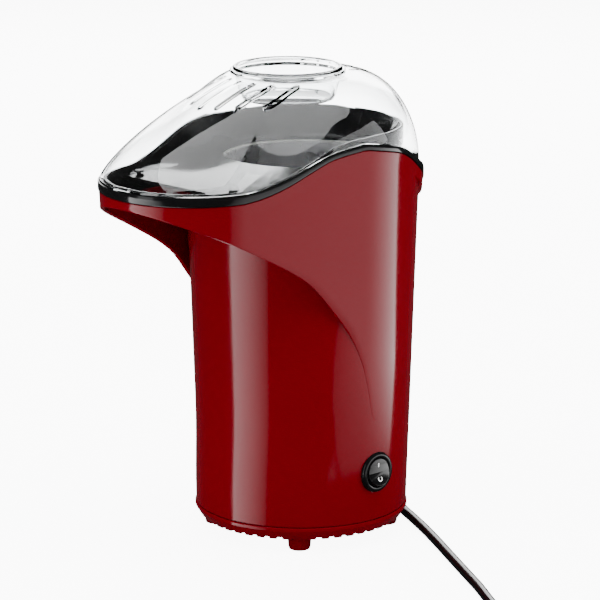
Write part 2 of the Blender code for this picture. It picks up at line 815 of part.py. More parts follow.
def make_chamber():
    wall = 1.0 * MM
    flange = RAMP_Z - CHUTE_WALL - 2.4 * MM
    inner = CHAMBER_RADIUS - wall
    profile = (
        (0, CHAMBER_FLOOR_Z + 9 * MM),
        (inner - 22 * MM, CHAMBER_FLOOR_Z + 5 * MM),
        (inner - 6 * MM, CHAMBER_FLOOR_Z + wall),
        (inner, CHAMBER_FLOOR_Z + 5 * MM),
        (inner, flange + wall),
        (THROAT_RADIUS + 5 * MM, flange + wall),
        (THROAT_RADIUS + 5 * MM, flange),
        (CHAMBER_RADIUS, flange),
        (CHAMBER_RADIUS, CHAMBER_FLOOR_Z + 4.6 * MM),
        (inner - 5.7 * MM, CHAMBER_FLOOR_Z),
        (inner - 22 * MM, CHAMBER_FLOOR_Z + 4 * MM),
        (0, CHAMBER_FLOOR_Z + 8 * MM),
    )
    chamber = turn("popping_chamber", profile, "aluminium", AXIS, 32, closed=False)
    bm = bmesh.new()
    for angle, _, _ in around(LOUVRE_COUNT, 1.0):
        centre = (0, -CHAMBER_RADIUS, CHAMBER_FLOOR_Z + 14 * MM)
        block_into(bm, (2.2 * MM, 8 * MM, 11 * MM), centre, angle)
    join(chamber, mesh_object("louvres", bm, None, AXIS))
    inner_seal = CHAMBER_RADIUS + GAP
    low, high = flange + wall + GAP, RAMP_Z - CHUTE_WALL - GAP
    ring("chamber_seal", THROAT_RADIUS + 4.6 * MM, inner_seal, low, high, "silicone", AXIS, 32)


def make_heater():
    floor = CHASSIS_Z + CHASSIS_PLATE + GAP
    inside = CAN_RADIUS - 0.8 * MM
    ring("heater_can", CAN_RADIUS, inside, floor, CAN_TOP_Z, "steel", AXIS, 36)
    bm = bmesh.new()
    narrow = 2 * (COIL_RADIUS - 2.3 * MM)
    wide_z = 5 * MM
    block_into(bm, (narrow, 1 * MM, MICA_HEIGHT), (0, 0, MICA_Z + MICA_HEIGHT / 2))
    frame = mesh_object("heater_frame", bm, "mica", AXIS)
    boxes = (
        ("mica_card", (1 * MM, narrow, MICA_HEIGHT), MICA_Z + MICA_HEIGHT / 2),
        ("mica_lug", (2 * inside - 2 * GAP, 1.04 * MM, wide_z), MICA_Z + MICA_HEIGHT - wide_z / 2),
        ("mica_cross_lug", (1.04 * MM, 2 * inside - 2 * GAP, wide_z), MICA_Z + MICA_HEIGHT - wide_z / 2),
    )
    for name, size, height in boxes:
        bm = bmesh.new()
        block_into(bm, size, (0, 0, height))
        join(frame, mesh_object(name, bm, None, AXIS), "UNION")
    coil_low = MICA_Z + 3 * MM
    pitch = (MICA_HEIGHT - wide_z - 7 * MM) / COIL_TURNS
    steps = 12
    points = []
    for k in range(COIL_TURNS * steps + 1):
        angle = 2 * math.pi * k / steps
        place = (COIL_RADIUS * math.sin(angle), COIL_RADIUS * math.cos(angle))
        points.append((*place, coil_low + pitch * k / steps))
    tube("heater_coil", points, 1.5 * MM, "steel", AXIS)
    thermostat = rod("thermostat", 8 * MM, CAN_RADIUS + GAP, CAN_RADIUS + 6 * MM, "bakelite")
    thermostat.location = (0, AXIS_Y, CHAMBER_FLOOR_Z)
    thermostat.rotation_euler = (0, -math.pi / 2, 0)
    angle = math.radians(-125)
    orbit = CAN_RADIUS + 2.6 * MM
    place = (orbit * math.sin(angle), AXIS_Y - orbit * math.cos(angle), CHAMBER_FLOOR_Z)
    rod("thermal_fuse", 2 * MM, -6 * MM, 6 * MM, "steel", place, 14)


def tube(name, points, radius, look, place=(0, 0, 0), resolution=2):
    """A round wire or lead through points."""
    data = bpy.data.curves.new(name, "CURVE")
    data.dimensions = "3D"
    data.bevel_depth = radius
    data.bevel_resolution = resolution
    data.use_fill_caps = True
    spline = data.splines.new("POLY")
    spline.points.add(len(points) - 1)
    for item, point in zip(spline.points, points):
        item.co = (*point, 1.0)
    return add_object(name, data, look, place)


# --- Motor and fan -------------------------------------------------------------------------------


def make_chassis():
    plate = CHASSIS_Z + CHASSIS_PLATE
    top = CHASSIS_Z + CHASSIS_CUP_HEIGHT
    flange = column_radius(CHASSIS_Z) - FRONT_RECESS - WALL - 2 * GAP
    inner = CHASSIS_CUP_RADIUS - 2 * MM
    profile = (
        (0, plate),
        (inner, plate),
        (inner, top),
        (CHASSIS_CUP_RADIUS, top),
        (CHASSIS_CUP_RADIUS, plate),
        (flange, plate),
        (flange, CHASSIS_Z),
        (0, CHASSIS_Z),
    )
    chassis = turn("fan_housing", profile, "bakelite", AXIS, steps=36, closed=False)
    bm = bmesh.new()
    low, high = CHASSIS_Z - 5 * MM, plate + 5 * MM
    drum_into(bm, 4 * MM, low, high, (0, 0), 16)
    for side in (-1, 1):
        drum_into(bm, 1.4 * MM + GAP, low, high, (side * MOTOR_SCREW_ORBIT, 0), 12)
    for _, x, y in around(8, 30 * MM):
        drum_into(bm, 6 * MM, low, high, (x, y), 10)
    for _, x, y in around(4, CHASSIS_SCREW_ORBIT, DIAGONAL):
        drum_into(bm, 1.5 * MM + GAP, low, high, (x, y), 12)
    join(chassis, mesh_object("chassis_holes", bm, None, AXIS))
    screw = (
        (0, plate + 2.4 * MM),
        (2 * MM, plate + 2.4 * MM),
        (2.9 * MM, plate + 1.2 * MM),
        (2.9 * MM, plate + GAP),
        (1.5 * MM, plate + GAP),
        (1.5 * MM, plate - 11 * MM),
        (0, plate - 11 * MM),
    )
    for corner, (_, x, y) in zip(CORNERS, around(4, CHASSIS_SCREW_ORBIT, DIAGONAL)):
        name = f"chassis_screw_{corner}"
        turn(name, screw, "steel", (x, y + AXIS_Y, 0), 12, closed=False)


def make_motor():
    grommet = 3.0 * MM
    top = CHASSIS_Z - grommet - 2 * GAP
    low = top - MOTOR_LENGTH
    wall = 1.2 * MM
    bearing = SHAFT_RADIUS + GAP
    profile = (
        (3 * MM, top + 1.6 * MM),
        (3 * MM, top),
        (MOTOR_RADIUS - 2 * MM, top),
        (MOTOR_RADIUS, top - 2 * MM),
        (MOTOR_RADIUS, low),
        (MOTOR_RADIUS - wall, low),
        (MOTOR_RADIUS - wall, top - wall - 1 * MM),
        (MOTOR_RADIUS - wall - 1 * MM, top - wall),
        (bearing, top - wall),
        (bearing, top + 1.6 * MM),
    )
    can = turn("motor_can", profile, "steel", AXIS, 24)
    bm = bmesh.new()
    for side in (-1, 1):
        drum_into(bm, 1.4 * MM + GAP, top - 4 * MM, top + 4 * MM, (side * MOTOR_SCREW_ORBIT, 0), 12)
    join(can, mesh_object("motor_screw_holes", bm, None, AXIS))
    cap_radius = MOTOR_RADIUS - wall - GAP
    cap_low = low - 1 * MM
    cap = (
        (cap_radius, low + 3 * MM),
        (cap_radius, low - GAP),
        (MOTOR_RADIUS, low - GAP),
        (MOTOR_RADIUS, cap_low),
        (bearing, cap_low),
        (bearing, low + 3 * MM),
    )
    turn("motor_end_cap", cap, "bakelite", AXIS, 24)
    board_z = cap_low - 2.4 * MM
    ring("rectifier_board", MOTOR_RADIUS - 1 * MM, 5 * MM, board_z, board_z + 1.6 * MM, "board", AXIS, 24)
    for k, (angle, x, y) in enumerate(around(4, 11 * MM)):
        diode = rod(f"diode_{k + 1}", 1.4 * MM, -2.7 * MM, 2.7 * MM, "black_plastic", steps=12)
        diode.location = (x, y + AXIS_Y, board_z - 1.4 * MM - GAP)
        diode.rotation_euler = (math.pi / 2, 0, angle + math.pi / 2)
    shaft_top = CHASSIS_Z + CHASSIS_PLATE + 4 * MM + FAN_HEIGHT + 1 * MM
    rod("motor_shaft", SHAFT_RADIUS, cap_low - 1 * MM, shaft_top, "steel", AXIS, 16)
    armature = (
        (14 * MM, top - 6 * MM),
        (14 * MM, low + 9 * MM),
        (4.5 * MM, low + 8 * MM),
        (4.5 * MM, low + 4 * MM),
        (bearing, low + 4 * MM),
        (bearing, top - 6 * MM),
    )
    turn("motor_armature", armature, "copper", AXIS, 24)
    magnet_outer, magnet_inner = MOTOR_RADIUS - wall - GAP, 14.7 * MM
    for side, name in ((0, "motor_magnet_right"), (math.pi, "motor_magnet_left")):
        arc_block(name, magnet_outer, magnet_inner, low + 7 * MM, top - 5 * MM, side)
    for side, hand in ((-1, "left"), (1, "right")):
        place = (side * MOTOR_SCREW_ORBIT, AXIS_Y, 0)
        collar = (top + GAP, CHASSIS_Z - GAP)
        ring(f"motor_grommet_{hand}", 4.2 * MM, 1.4 * MM + GAP, *collar, "rubber", place, 20)
        head = CHASSIS_Z + CHASSIS_PLATE + GAP
        screw = (
            (0, head + 1.8 * MM),
            (2.6 * MM, head + 1.8 * MM),
            (2.6 * MM, head),
            (1.4 * MM, head),
            (1.4 * MM, top - 2.5 * MM),
            (0, top - 2.5 * MM),
        )
        turn(f"motor_screw_{hand}", screw, "steel", place, 12, closed=False)


def arc_block(name, outer, inner, low, high, middle, half=math.radians(55), steps=8):
    """A curved magnet: a flat arc in plan, raised to its height."""
    bm = bmesh.new()
    angles = [middle + mix(-half, half, k / steps) for k in range(steps + 1)]
    points = [(outer * math.cos(a), outer * math.sin(a)) for a in angles]
    points += [(inner * math.cos(a), inner * math.sin(a)) for a in reversed(angles)]
    face = bm.faces.new([bm.verts.new((x, y, low)) for x, y in points])
    grown = bmesh.ops.extrude_face_region(bm, geom=[face])
    top = [item for item in grown["geom"] if isinstance(item, bmesh.types.BMVert)]
    bmesh.ops.translate(bm, verts=top, vec=(0, 0, high - low))
    bmesh.ops.recalc_face_normals(bm, faces=bm.faces)
    return mesh_object(name, bm, "magnet", AXIS)


def make_fan():
    low = CHASSIS_Z + CHASSIS_PLATE + 4 * MM
    bore = SHAFT_RADIUS + GAP
    fan = ring("fan", 8 * MM, bore, low, low + FAN_HEIGHT, "aluminium", AXIS, 16)
    disc = ring("fan_disc", FAN_RADIUS, bore + 2 * MM, low + 1 * MM, low + 2 * MM, None, AXIS, 32)
    join(fan, disc, "UNION")
    bm = bmesh.new()
    start = 7 * MM
    length = FAN_RADIUS - 1 * MM - start
    for angle, _, _ in around(FAN_BLADES, 1.0):
        size = (1 * MM, length, FAN_HEIGHT - 2.5 * MM)
        centre = (0, -(start + length / 2), low + 1.5 * MM + size[2] / 2)
        block_into(bm, size, centre, angle)
    join(fan, mesh_object("fan_blades", bm, None, AXIS), "UNION")


# --- Switch --------------------------------------------------------------------------------------


def make_switch():
    face = switch_face_x()
    front = face + BEZEL_DEPTH
    cavity = ROCKER_RADIUS + 0.45 * MM
    back = face - 18 * MM
    floor = face - 7.5 * MM
    profile = (
        (0, floor),
        (cavity, floor),
        (cavity, front - 0.5 * MM),
        (cavity + 0.5 * MM, front),
        (BEZEL_RADIUS - 1.0 * MM, front),
        (BEZEL_RADIUS - 0.3 * MM, front - 0.4 * MM),
        (BEZEL_RADIUS, front - 1.2 * MM),
        (BEZEL_RADIUS, face),
        (BARREL_RADIUS, face),
        (BARREL_RADIUS, back),
        (0, back),
    )
    place = (0, AXIS_Y, SWITCH_Z)
    along_x(turn("switch_body", profile, "black_plastic", place, 32, closed=False))
    for side, name in ((1, "line"), (-1, "load")):
        bm = bmesh.new()
        size = (7 * MM, 0.8 * MM, 6.3 * MM)
        block_into(bm, size, (back - GAP - size[0] / 2, side * 5 * MM, 0))
        mesh_object(f"switch_terminal_{name}", bm, "brass", place)
    pivot = front - 1.2 * MM
    depth = 6 * MM
    half = ROCKER_RADIUS
    side_view = (
        (2.6 * MM, 0.95 * half),
        (1.5 * MM, 0),
        (2.6 * MM, -0.95 * half),
        (-1 * MM, -half),
        (-depth, -0.72 * half),
        (-depth, 0.72 * half),
        (-1 * MM, half),
    )
    bm = bmesh.new()
    wide = 1.2 * half
    face_vertices = [bm.verts.new((x, -wide, z)) for x, z in side_view]
    grown = bmesh.ops.extrude_face_region(bm, geom=[bm.faces.new(face_vertices)])
    moved = [item for item in grown["geom"] if isinstance(item, bmesh.types.BMVert)]
    bmesh.ops.translate(bm, verts=moved, vec=(0, 2 * wide, 0))
    bmesh.ops.recalc_face_normals(bm, faces=bm.faces)
    rocker = mesh_object("switch_rocker", bm, "black_plastic", (pivot, AXIS_Y, SWITCH_Z))
    rocker.rotation_euler = (0, -ROCKER_TILT, 0)
    foot = 0.72 * half  # round in both positions, and narrower inside, to clear the body
    profile = (
        (0, 20 * MM),
        (half, 20 * MM),
        (half, -1 * MM),
        (foot, -depth),
        (foot, -20 * MM),
        (0, -20 * MM),
    )
    for name, lean in (("rocker_round", 0.0), ("rocker_round_tilted", -2 * ROCKER_TILT)):
        round_off = turn(name, profile, None, (pivot, AXIS_Y, SWITCH_Z), 32, closed=False)
        round_off.rotation_euler = (0, math.pi / 2 + lean, 0)
        join(rocker, round_off, "INTERSECT")


# --- Cord, coil and plug -------------------------------------------------------------------------

# The strain relief turns the cord along the back of the base
RELIEF_ROUTE = (
    (-8.2, 92.8, 16.35),
    (-9.2, 100.4, 16.3),
    (-8.9, 105.0, 15.6),
    (-6.2, 108.4, 14.2),
    (-1.8, 109.4, 12.2),
    (3.0, 108.4, 10.0),
    (8.0, 105.8, 8.0),
    (12.4, 103.2, 6.6),
)
# Along the floor, to where the stored length lies
CORD_ROUTE = (
    (12.7, 103.0, 6.5),
    (19.0, 99.6, 4.7),
    (26.5, 95.6, 3.5),
    (36.0, 90.4, 3.1),
    (46.5, 85.1, 3.1),
    (57.7, 79.3, 3.1),
    (71.5, 72.0, 3.1),
    (85.4, 64.2, 3.1),
    (100.5, 55.5, 3.1),
    (115.5, 46.7, 3.1),
    (129.0, 38.8, 3.1),
    (142.6, 30.9, 3.1),
    (155.3, 23.5, 3.1),
    (168.0, 16.1, 3.1),
    (178.3, 9.6, 3.1),
    (188.5, 3.0, 3.1),
    (200.0, -4.1, 3.1),
    (213.0, -12.0, 3.1),
    (226.0, -19.8, 3.1),
    (238.6, -27.4, 3.1),
)
# From the coil to the plug
TAIL_ROUTE = (
    (279.1, -98.6, 3.1),
    (279.2, -103.0, 3.4),
    (279.4, -108.0, 4.3),
    (279.6, -113.0, 5.6),
    (279.7, -118.0, 6.6),
    (279.7, -122.7, 7.0),
)


def through(route, spacing=2.2):
    """Points on a smooth curve through a route in millimetres, about two diameters apart."""
    ends = [2 * Vector(route[0]) - Vector(route[1])]
    points = ends + [Vector(point) for point in route]
    points.append(2 * Vector(route[-1]) - Vector(route[-2]))
    found = []
    for a, b, c, d in zip(points, points[1:], points[2:], points[3:]):
        count = max(1, round((c - b).length * MM / (2 * CORD_RADIUS * spacing)))
        for k in range(count):
            u = k / count
            bend = (2 * a - 5 * b + 4 * c - d) * u**2 + (3 * b - a - 3 * c + d) * u**3
            found.append((b + 0.5 * ((c - a) * u + bend)) * MM)
    found.append(points[-2] * MM)
    return found


def make_cord():
    relief = tube("strain_relief", [Vector(p) * MM for p in RELIEF_ROUTE], RELIEF_ROOT, "rubber")
    relief.data.bevel_resolution = 3
    points = relief.data.splines[0].points
    for k, point in enumerate(points):
        point.radius = mix(1.0, RELIEF_END / RELIEF_ROOT, ease(1, len(points) - 1, k))
    tube("power_cord", through(CORD_ROUTE), CORD_RADIUS, "rubber", resolution=3)
    tube("cord_tail", through(TAIL_ROUTE), CORD_RADIUS, "rubber", resolution=3)
    coil_half = 2 * CORD_RADIUS
    outer, inner = COIL_MEAN_RADIUS + coil_half, COIL_MEAN_RADIUS - coil_half
    top = 2 * CORD_RADIUS * COIL_LAYERS
    ring("cord_coil", outer, inner, 0, top, "rubber", (*COIL_MIDDLE, 0), 48)
    strap = 1.2 * MM
    bm = bmesh.new()
    size = (outer - inner + 2 * (strap + GAP), 6 * MM, top + strap + GAP)
    centre = (-COIL_MEAN_RADIUS, 0, size[2] / 2)
    block_into(bm, size, centre)
    tie = mesh_object("coil_tie", bm, "black_plastic", (*COIL_MIDDLE, 0))
    bm = bmesh.new()
    size = (outer - inner + 2 * GAP, 8 * MM, 2 * (top + GAP))
    block_into(bm, size, (-COIL_MEAN_RADIUS, 0, 0))
    join(tie, mesh_object("tie_inside", bm, None, (*COIL_MIDDLE, 0)))


def make_plug():
    x, y, z = (value * MM for value in TAIL_ROUTE[-1])
    back = y - GAP
    bm = bmesh.new()
    front_y = back - PLUG_LENGTH
    sections = (
        (back, 5.0 * MM, 4.6 * MM),
        (back - 0.35 * PLUG_LENGTH, 0.36 * PLUG_WIDTH, 0.42 * PLUG_THICKNESS),
        (back - 0.6 * PLUG_LENGTH, 0.5 * PLUG_WIDTH, 0.5 * PLUG_THICKNESS),
        (front_y, 0.5 * PLUG_WIDTH, 0.5 * PLUG_THICKNESS),
    )
    rows = []
    for depth, half_wide, half_high in sections:
        corner = 0.45 * half_high
        row = []
        for sx, sz in ((1, 1), (-1, 1), (-1, -1), (1, -1)):
            ends = ((half_wide, half_high - corner), (half_wide - corner, half_high))
            for wide, high in ends if sx * sz > 0 else ends[::-1]:
                row.append(bm.verts.new((x + sx * wide, depth, z + sz * high)))
        rows.append(row)
    for first, second in zip(rows, rows[1:]):
        for k in range(len(first)):
            after = (k + 1) % len(first)
            bm.faces.new((first[k], first[after], second[after], second[k]))
    bm.faces.new(rows[0])
    bm.faces.new(rows[-1])
    bmesh.ops.recalc_face_normals(bm, faces=bm.faces)
    mesh_object("plug_body", bm, "rubber")
    for side, hand in ((-1, "left"), (1, "right")):
        bm = bmesh.new()
        size = (1.5 * MM, PIN_LENGTH, 6.3 * MM)
        centre = (x + side * PIN_SPACING / 2, front_y - GAP - PIN_LENGTH / 2, z)
        block_into(bm, size, centre)
        mesh_object(f"plug_pin_{hand}", bm, "brass")


def make_leads():
    """The leads inside the base, from the cord to the switch and on to the board."""
    back = switch_face_x() - 18 * MM - GAP - 7 * MM
    reach = AXIS_Y + 5 * MM
    line = (
        (-8.0 * MM, AXIS_Y + 56.6 * MM, CORD_EXIT_Z),
        (-6.0 * MM, AXIS_Y + 52.0 * MM, 18.5 * MM),
        (6.0 * MM, AXIS_Y + 48.0 * MM, 24.0 * MM),
        (20.0 * MM, AXIS_Y + 36.0 * MM, 34.0 * MM),
        (30.0 * MM, AXIS_Y + 18.0 * MM, 43.0 * MM),
        (back - 4.0 * MM, reach + 3.0 * MM, SWITCH_Z),
        (back - 2.0 * MM, reach, SWITCH_Z),
        (back - GAP, reach, SWITCH_Z),
    )
    tube("lead_line", line, 1.3 * MM, "rubber")
    far = AXIS_Y - 5 * MM
    load = (
        (back - GAP, far, SWITCH_Z),
        (back - 4.0 * MM, far, SWITCH_Z),
        (back - 8.0 * MM, far, SWITCH_Z - 6.0 * MM),
        (back - 9.0 * MM, far, 30.0 * MM),
        (back - 11.0 * MM, far, 22.0 * MM),
        (MOTOR_RADIUS - 2.5 * MM, far + 3.0 * MM, 18.0 * MM),
    )
    tube("lead_load", load, 1.3 * MM, "rubber")
    clamp_y = AXIS_Y + 38.0 * MM
    plate = FOOT_HEIGHT + BASE_PLATE
    bm = bmesh.new()
    block_into(bm, (16 * MM, 7 * MM, 3 * MM), (-22 * MM, clamp_y, plate + GAP + 1.5 * MM))
    clamp = mesh_object("cord_clamp", bm, "bakelite")
    bm = bmesh.new()
    drum_into(bm, 1.5 * MM + GAP, plate, plate + 10 * MM, (-22 * MM, clamp_y), 12)
    join(clamp, mesh_object("clamp_hole", bm, None))
    head = plate + 2 * GAP + 3 * MM
    screw = (
        (0, head + 1.6 * MM),
        (2.6 * MM, head + 1.6 * MM),
        (2.8 * MM, head),
        (1.5 * MM, head),
        (1.5 * MM, plate + GAP),
        (0, plate + GAP),
    )
    turn("clamp_screw", screw, "steel", (-22 * MM, clamp_y, 0), 14, closed=False)


def main():
    clear_scene()
    make_housing()
    make_base_cover()
    make_feet()
    make_chute()
    make_lid()
    make_cup()
    make_chamber()
    make_heater()
    make_chassis()
    make_motor()
    make_fan()
    make_switch()
    make_cord()
    make_plug()
    make_leads()


main()
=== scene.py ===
"""Hot-air popcorn maker: the finished look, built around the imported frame.

Everything is in metres, +Z up. The spout points to -Y and the switch is on the +X side. Outlines are
given around the column's axis: an angle of 0 points to the nose and 180 degrees to the back.
"""

import json
import logging
import math
from dataclasses import dataclass, field
from enum import Enum
from typing import Callable, Iterable, Sequence

import bmesh
import bpy
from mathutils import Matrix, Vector

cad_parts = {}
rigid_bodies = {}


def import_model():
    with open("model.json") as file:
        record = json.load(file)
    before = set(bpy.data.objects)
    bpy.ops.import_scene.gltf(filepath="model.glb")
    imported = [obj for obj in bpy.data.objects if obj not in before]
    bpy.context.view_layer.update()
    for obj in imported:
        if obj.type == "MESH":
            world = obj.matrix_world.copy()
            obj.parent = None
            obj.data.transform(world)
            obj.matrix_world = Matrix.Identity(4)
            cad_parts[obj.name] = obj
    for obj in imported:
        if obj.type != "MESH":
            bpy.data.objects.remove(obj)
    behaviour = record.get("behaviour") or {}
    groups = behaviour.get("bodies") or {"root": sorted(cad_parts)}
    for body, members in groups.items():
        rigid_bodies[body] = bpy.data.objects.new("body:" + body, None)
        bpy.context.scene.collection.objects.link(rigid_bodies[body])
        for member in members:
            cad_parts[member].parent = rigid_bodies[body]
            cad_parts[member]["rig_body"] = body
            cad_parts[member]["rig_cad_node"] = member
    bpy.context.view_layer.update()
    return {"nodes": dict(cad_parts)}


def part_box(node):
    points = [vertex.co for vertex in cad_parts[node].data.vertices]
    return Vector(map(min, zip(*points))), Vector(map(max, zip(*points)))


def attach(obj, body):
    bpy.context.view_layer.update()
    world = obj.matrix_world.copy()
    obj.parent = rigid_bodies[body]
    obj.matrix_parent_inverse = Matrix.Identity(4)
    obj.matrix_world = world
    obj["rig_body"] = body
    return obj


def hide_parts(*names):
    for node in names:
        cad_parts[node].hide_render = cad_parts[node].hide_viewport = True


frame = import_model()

logging.basicConfig(level=logging.INFO, format="%(levelname)s %(message)s")
LOG = logging.getLogger("popcorn_maker")

MM = 0.001
GAP = 0.3 * MM
AXIS_Y = sum(corner.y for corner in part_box("popping_chamber")) / 2

Point = tuple[float, float, float]
Chain = list[tuple[float, float]]


# --- Finishes ------------------------------------------------------------------------------------


class Grain(Enum):
    """How a finish's fine pattern runs."""

    MOULDED = (1.0, 1.0, 1.0)
    TURNED = (1.0, 1.0, 24.0)
    DRAWN = (12.0, 12.0, 1.0)


@dataclass(frozen=True)
class Finish:
    """A procedural finish: a base colour that drifts a little, uneven gloss and a fine relief."""

    name: str
    colour: Point
    shade: Point
    roughness: tuple[float, float]
    slot: str
    metallic: float = 0.0
    specular: float = 0.5
    coat: float = 0.0
    transmission: float = 0.0
    ior: float = 1.5
    drift_scale: float = 14.0
    grain_scale: float = 900.0
    relief: float = 0.03
    depth: float = 0.00004
    grain: Grain = Grain.MOULDED

    def material(self) -> bpy.types.Material:
        """Makes the finish's material, or finds it if it is there.

        Returns:
            The material.
        """
        found = bpy.data.materials.get(self.name)
        if found is not None:
            return found
        made = bpy.data.materials.new(self.name)
        made.use_nodes = True
        tree = made.node_tree
        shader = tree.nodes["Principled BSDF"]
        for socket, value in (
            ("Metallic", self.metallic),
            ("Specular IOR Level", self.specular),
            ("Coat Weight", self.coat),
            ("Coat Roughness", 0.04),
            ("Transmission Weight", self.transmission),
            ("IOR", self.ior),
        ):
            shader.inputs[socket].default_value = value
        place = tree.nodes.new("ShaderNodeTexCoord").outputs["Object"]
        drift = self._noise(tree, place, self.drift_scale, 3.0)
        tint = tree.nodes.new("ShaderNodeMix")
        tint.data_type = "RGBA"
        tint.inputs[6].default_value = (*self.colour, 1.0)
        tint.inputs[7].default_value = (*self.shade, 1.0)
        tree.links.new(drift, tint.inputs[0])
        tree.links.new(tint.outputs[2], shader.inputs["Base Color"])
        stretch = tree.nodes.new("ShaderNodeMapping")
        stretch.inputs["Scale"].default_value = self.grain.value
        tree.links.new(place, stretch.inputs["Vector"])
        fine = self._noise(tree, stretch.outputs["Vector"], self.grain_scale, 2.0)
        uneven = tree.nodes.new("ShaderNodeMapRange")
        uneven.inputs["From Min"].default_value = 0.3
        uneven.inputs["From Max"].default_value = 0.7
        uneven.inputs["To Min"].default_value = self.roughness[0]
        uneven.inputs["To Max"].default_value = self.roughness[1]
        tree.links.new(self._noise(tree, place, 4 * self.drift_scale, 5.0), uneven.inputs["Value"])
        tree.links.new(uneven.outputs["Result"], shader.inputs["Roughness"])
        bump = tree.nodes.new("ShaderNodeBump")
        bump.inputs["Strength"].default_value = self.relief
        bump.inputs["Distance"].default_value = self.depth
        tree.links.new(fine, bump.inputs["Height"])
        tree.links.new(bump.outputs["Normal"], shader.inputs["Normal"])
        return made

    @staticmethod
    def _noise(
        tree: bpy.types.NodeTree, place: bpy.types.NodeSocket, scale: float, detail: float
    ) -> bpy.types.NodeSocket:
        """Adds a noise pattern and gives its output.

        Args:
            tree: The node tree.
            place: The coordinates that it reads.
            scale: Its scale, per metre.
            detail: How many finer layers it has.

        Returns:
            The pattern's value, from 0 to 1.
        """
        noise = tree.nodes.new("ShaderNodeTexNoise")
        noise.inputs["Scale"].default_value = scale
        noise.inputs["Detail"].default_value = detail
        tree.links.new(place, noise.inputs["Vector"])
        return noise.outputs["Fac"]


RED = Finish(
    "red_gloss", (0.135, 0.0, 0.0045), (0.124, 0.0, 0.004), (0.1, 0.13), "red_plastic",
    specular=0.07, relief=0.008,
)
BLACK = Finish(
    "black_gloss", (0.0035, 0.0035, 0.0037), (0.0045, 0.0045, 0.0047), (0.08, 0.13), "black_plastic",
    specular=0.1, relief=0.008,
)
SATIN_BLACK = Finish(
    "black_satin", (0.003, 0.003, 0.003), (0.005, 0.005, 0.005), (0.28, 0.38), "black_plastic",
    specular=0.12, relief=0.12, depth=0.00008,
)
CLEAR = Finish(
    "clear_moulding", (0.97, 0.98, 0.985), (0.95, 0.965, 0.97), (0.012, 0.03), "clear_plastic",
    transmission=1.0, ior=1.46, drift_scale=9.0, grain_scale=60.0, relief=0.02, depth=0.0002,
)
MARK = Finish("white_print", (0.88, 0.88, 0.88), (0.8, 0.8, 0.79), (0.35, 0.5), "black_plastic")
RUBBER = Finish(
    "black_lead", (0.0015, 0.0015, 0.0016), (0.003, 0.003, 0.003), (0.2, 0.28), "rubber",
    specular=0.15, relief=0.05, depth=0.00004, grain_scale=500.0,
)
SOFT = Finish(
    "grey_silicone", (0.5, 0.5, 0.48), (0.42, 0.42, 0.4), (0.55, 0.7), "silicone", relief=0.2
)
HEATPROOF = Finish(
    "dark_heatproof", (0.03, 0.026, 0.023), (0.045, 0.038, 0.03), (0.4, 0.6), "bakelite",
    relief=0.3, depth=0.0001, grain_scale=1400.0,
)
SPUN_ALUMINIUM = Finish(
    "spun_aluminium", (0.78, 0.78, 0.79), (0.66, 0.66, 0.67), (0.22, 0.36), "aluminium",
    metallic=1.0, relief=0.2, grain=Grain.TURNED, grain_scale=300.0,
)
STEEL = Finish(
    "plated_steel", (0.6, 0.6, 0.59), (0.48, 0.48, 0.49), (0.25, 0.45), "steel",
    metallic=1.0, relief=0.25, grain=Grain.TURNED, grain_scale=240.0,
)
COPPER = Finish(
    "copper_winding", (0.74, 0.33, 0.17), (0.55, 0.22, 0.11), (0.25, 0.4), "copper",
    metallic=1.0, relief=0.7, depth=0.0003, grain=Grain.TURNED, grain_scale=120.0,
)
BRASS = Finish(
    "plain_brass", (0.8, 0.62, 0.3), (0.66, 0.5, 0.24), (0.2, 0.34), "brass",
    metallic=1.0, relief=0.15, grain=Grain.DRAWN, grain_scale=200.0,
)
MICA = Finish(
    "mica_board", (0.56, 0.48, 0.35), (0.4, 0.33, 0.22), (0.35, 0.6), "mica",
    drift_scale=160.0, relief=0.4, depth=0.0001,
)
BOARD = Finish(
    "phenolic_board", (0.3, 0.19, 0.08), (0.24, 0.15, 0.06), (0.4, 0.6), "board", relief=0.3
)
FERRITE = Finish(
    "dark_ferrite", (0.07, 0.07, 0.075), (0.1, 0.1, 0.1), (0.5, 0.7), "magnet", relief=0.4
)


# --- Workshop ------------------------------------------------------------------------------------


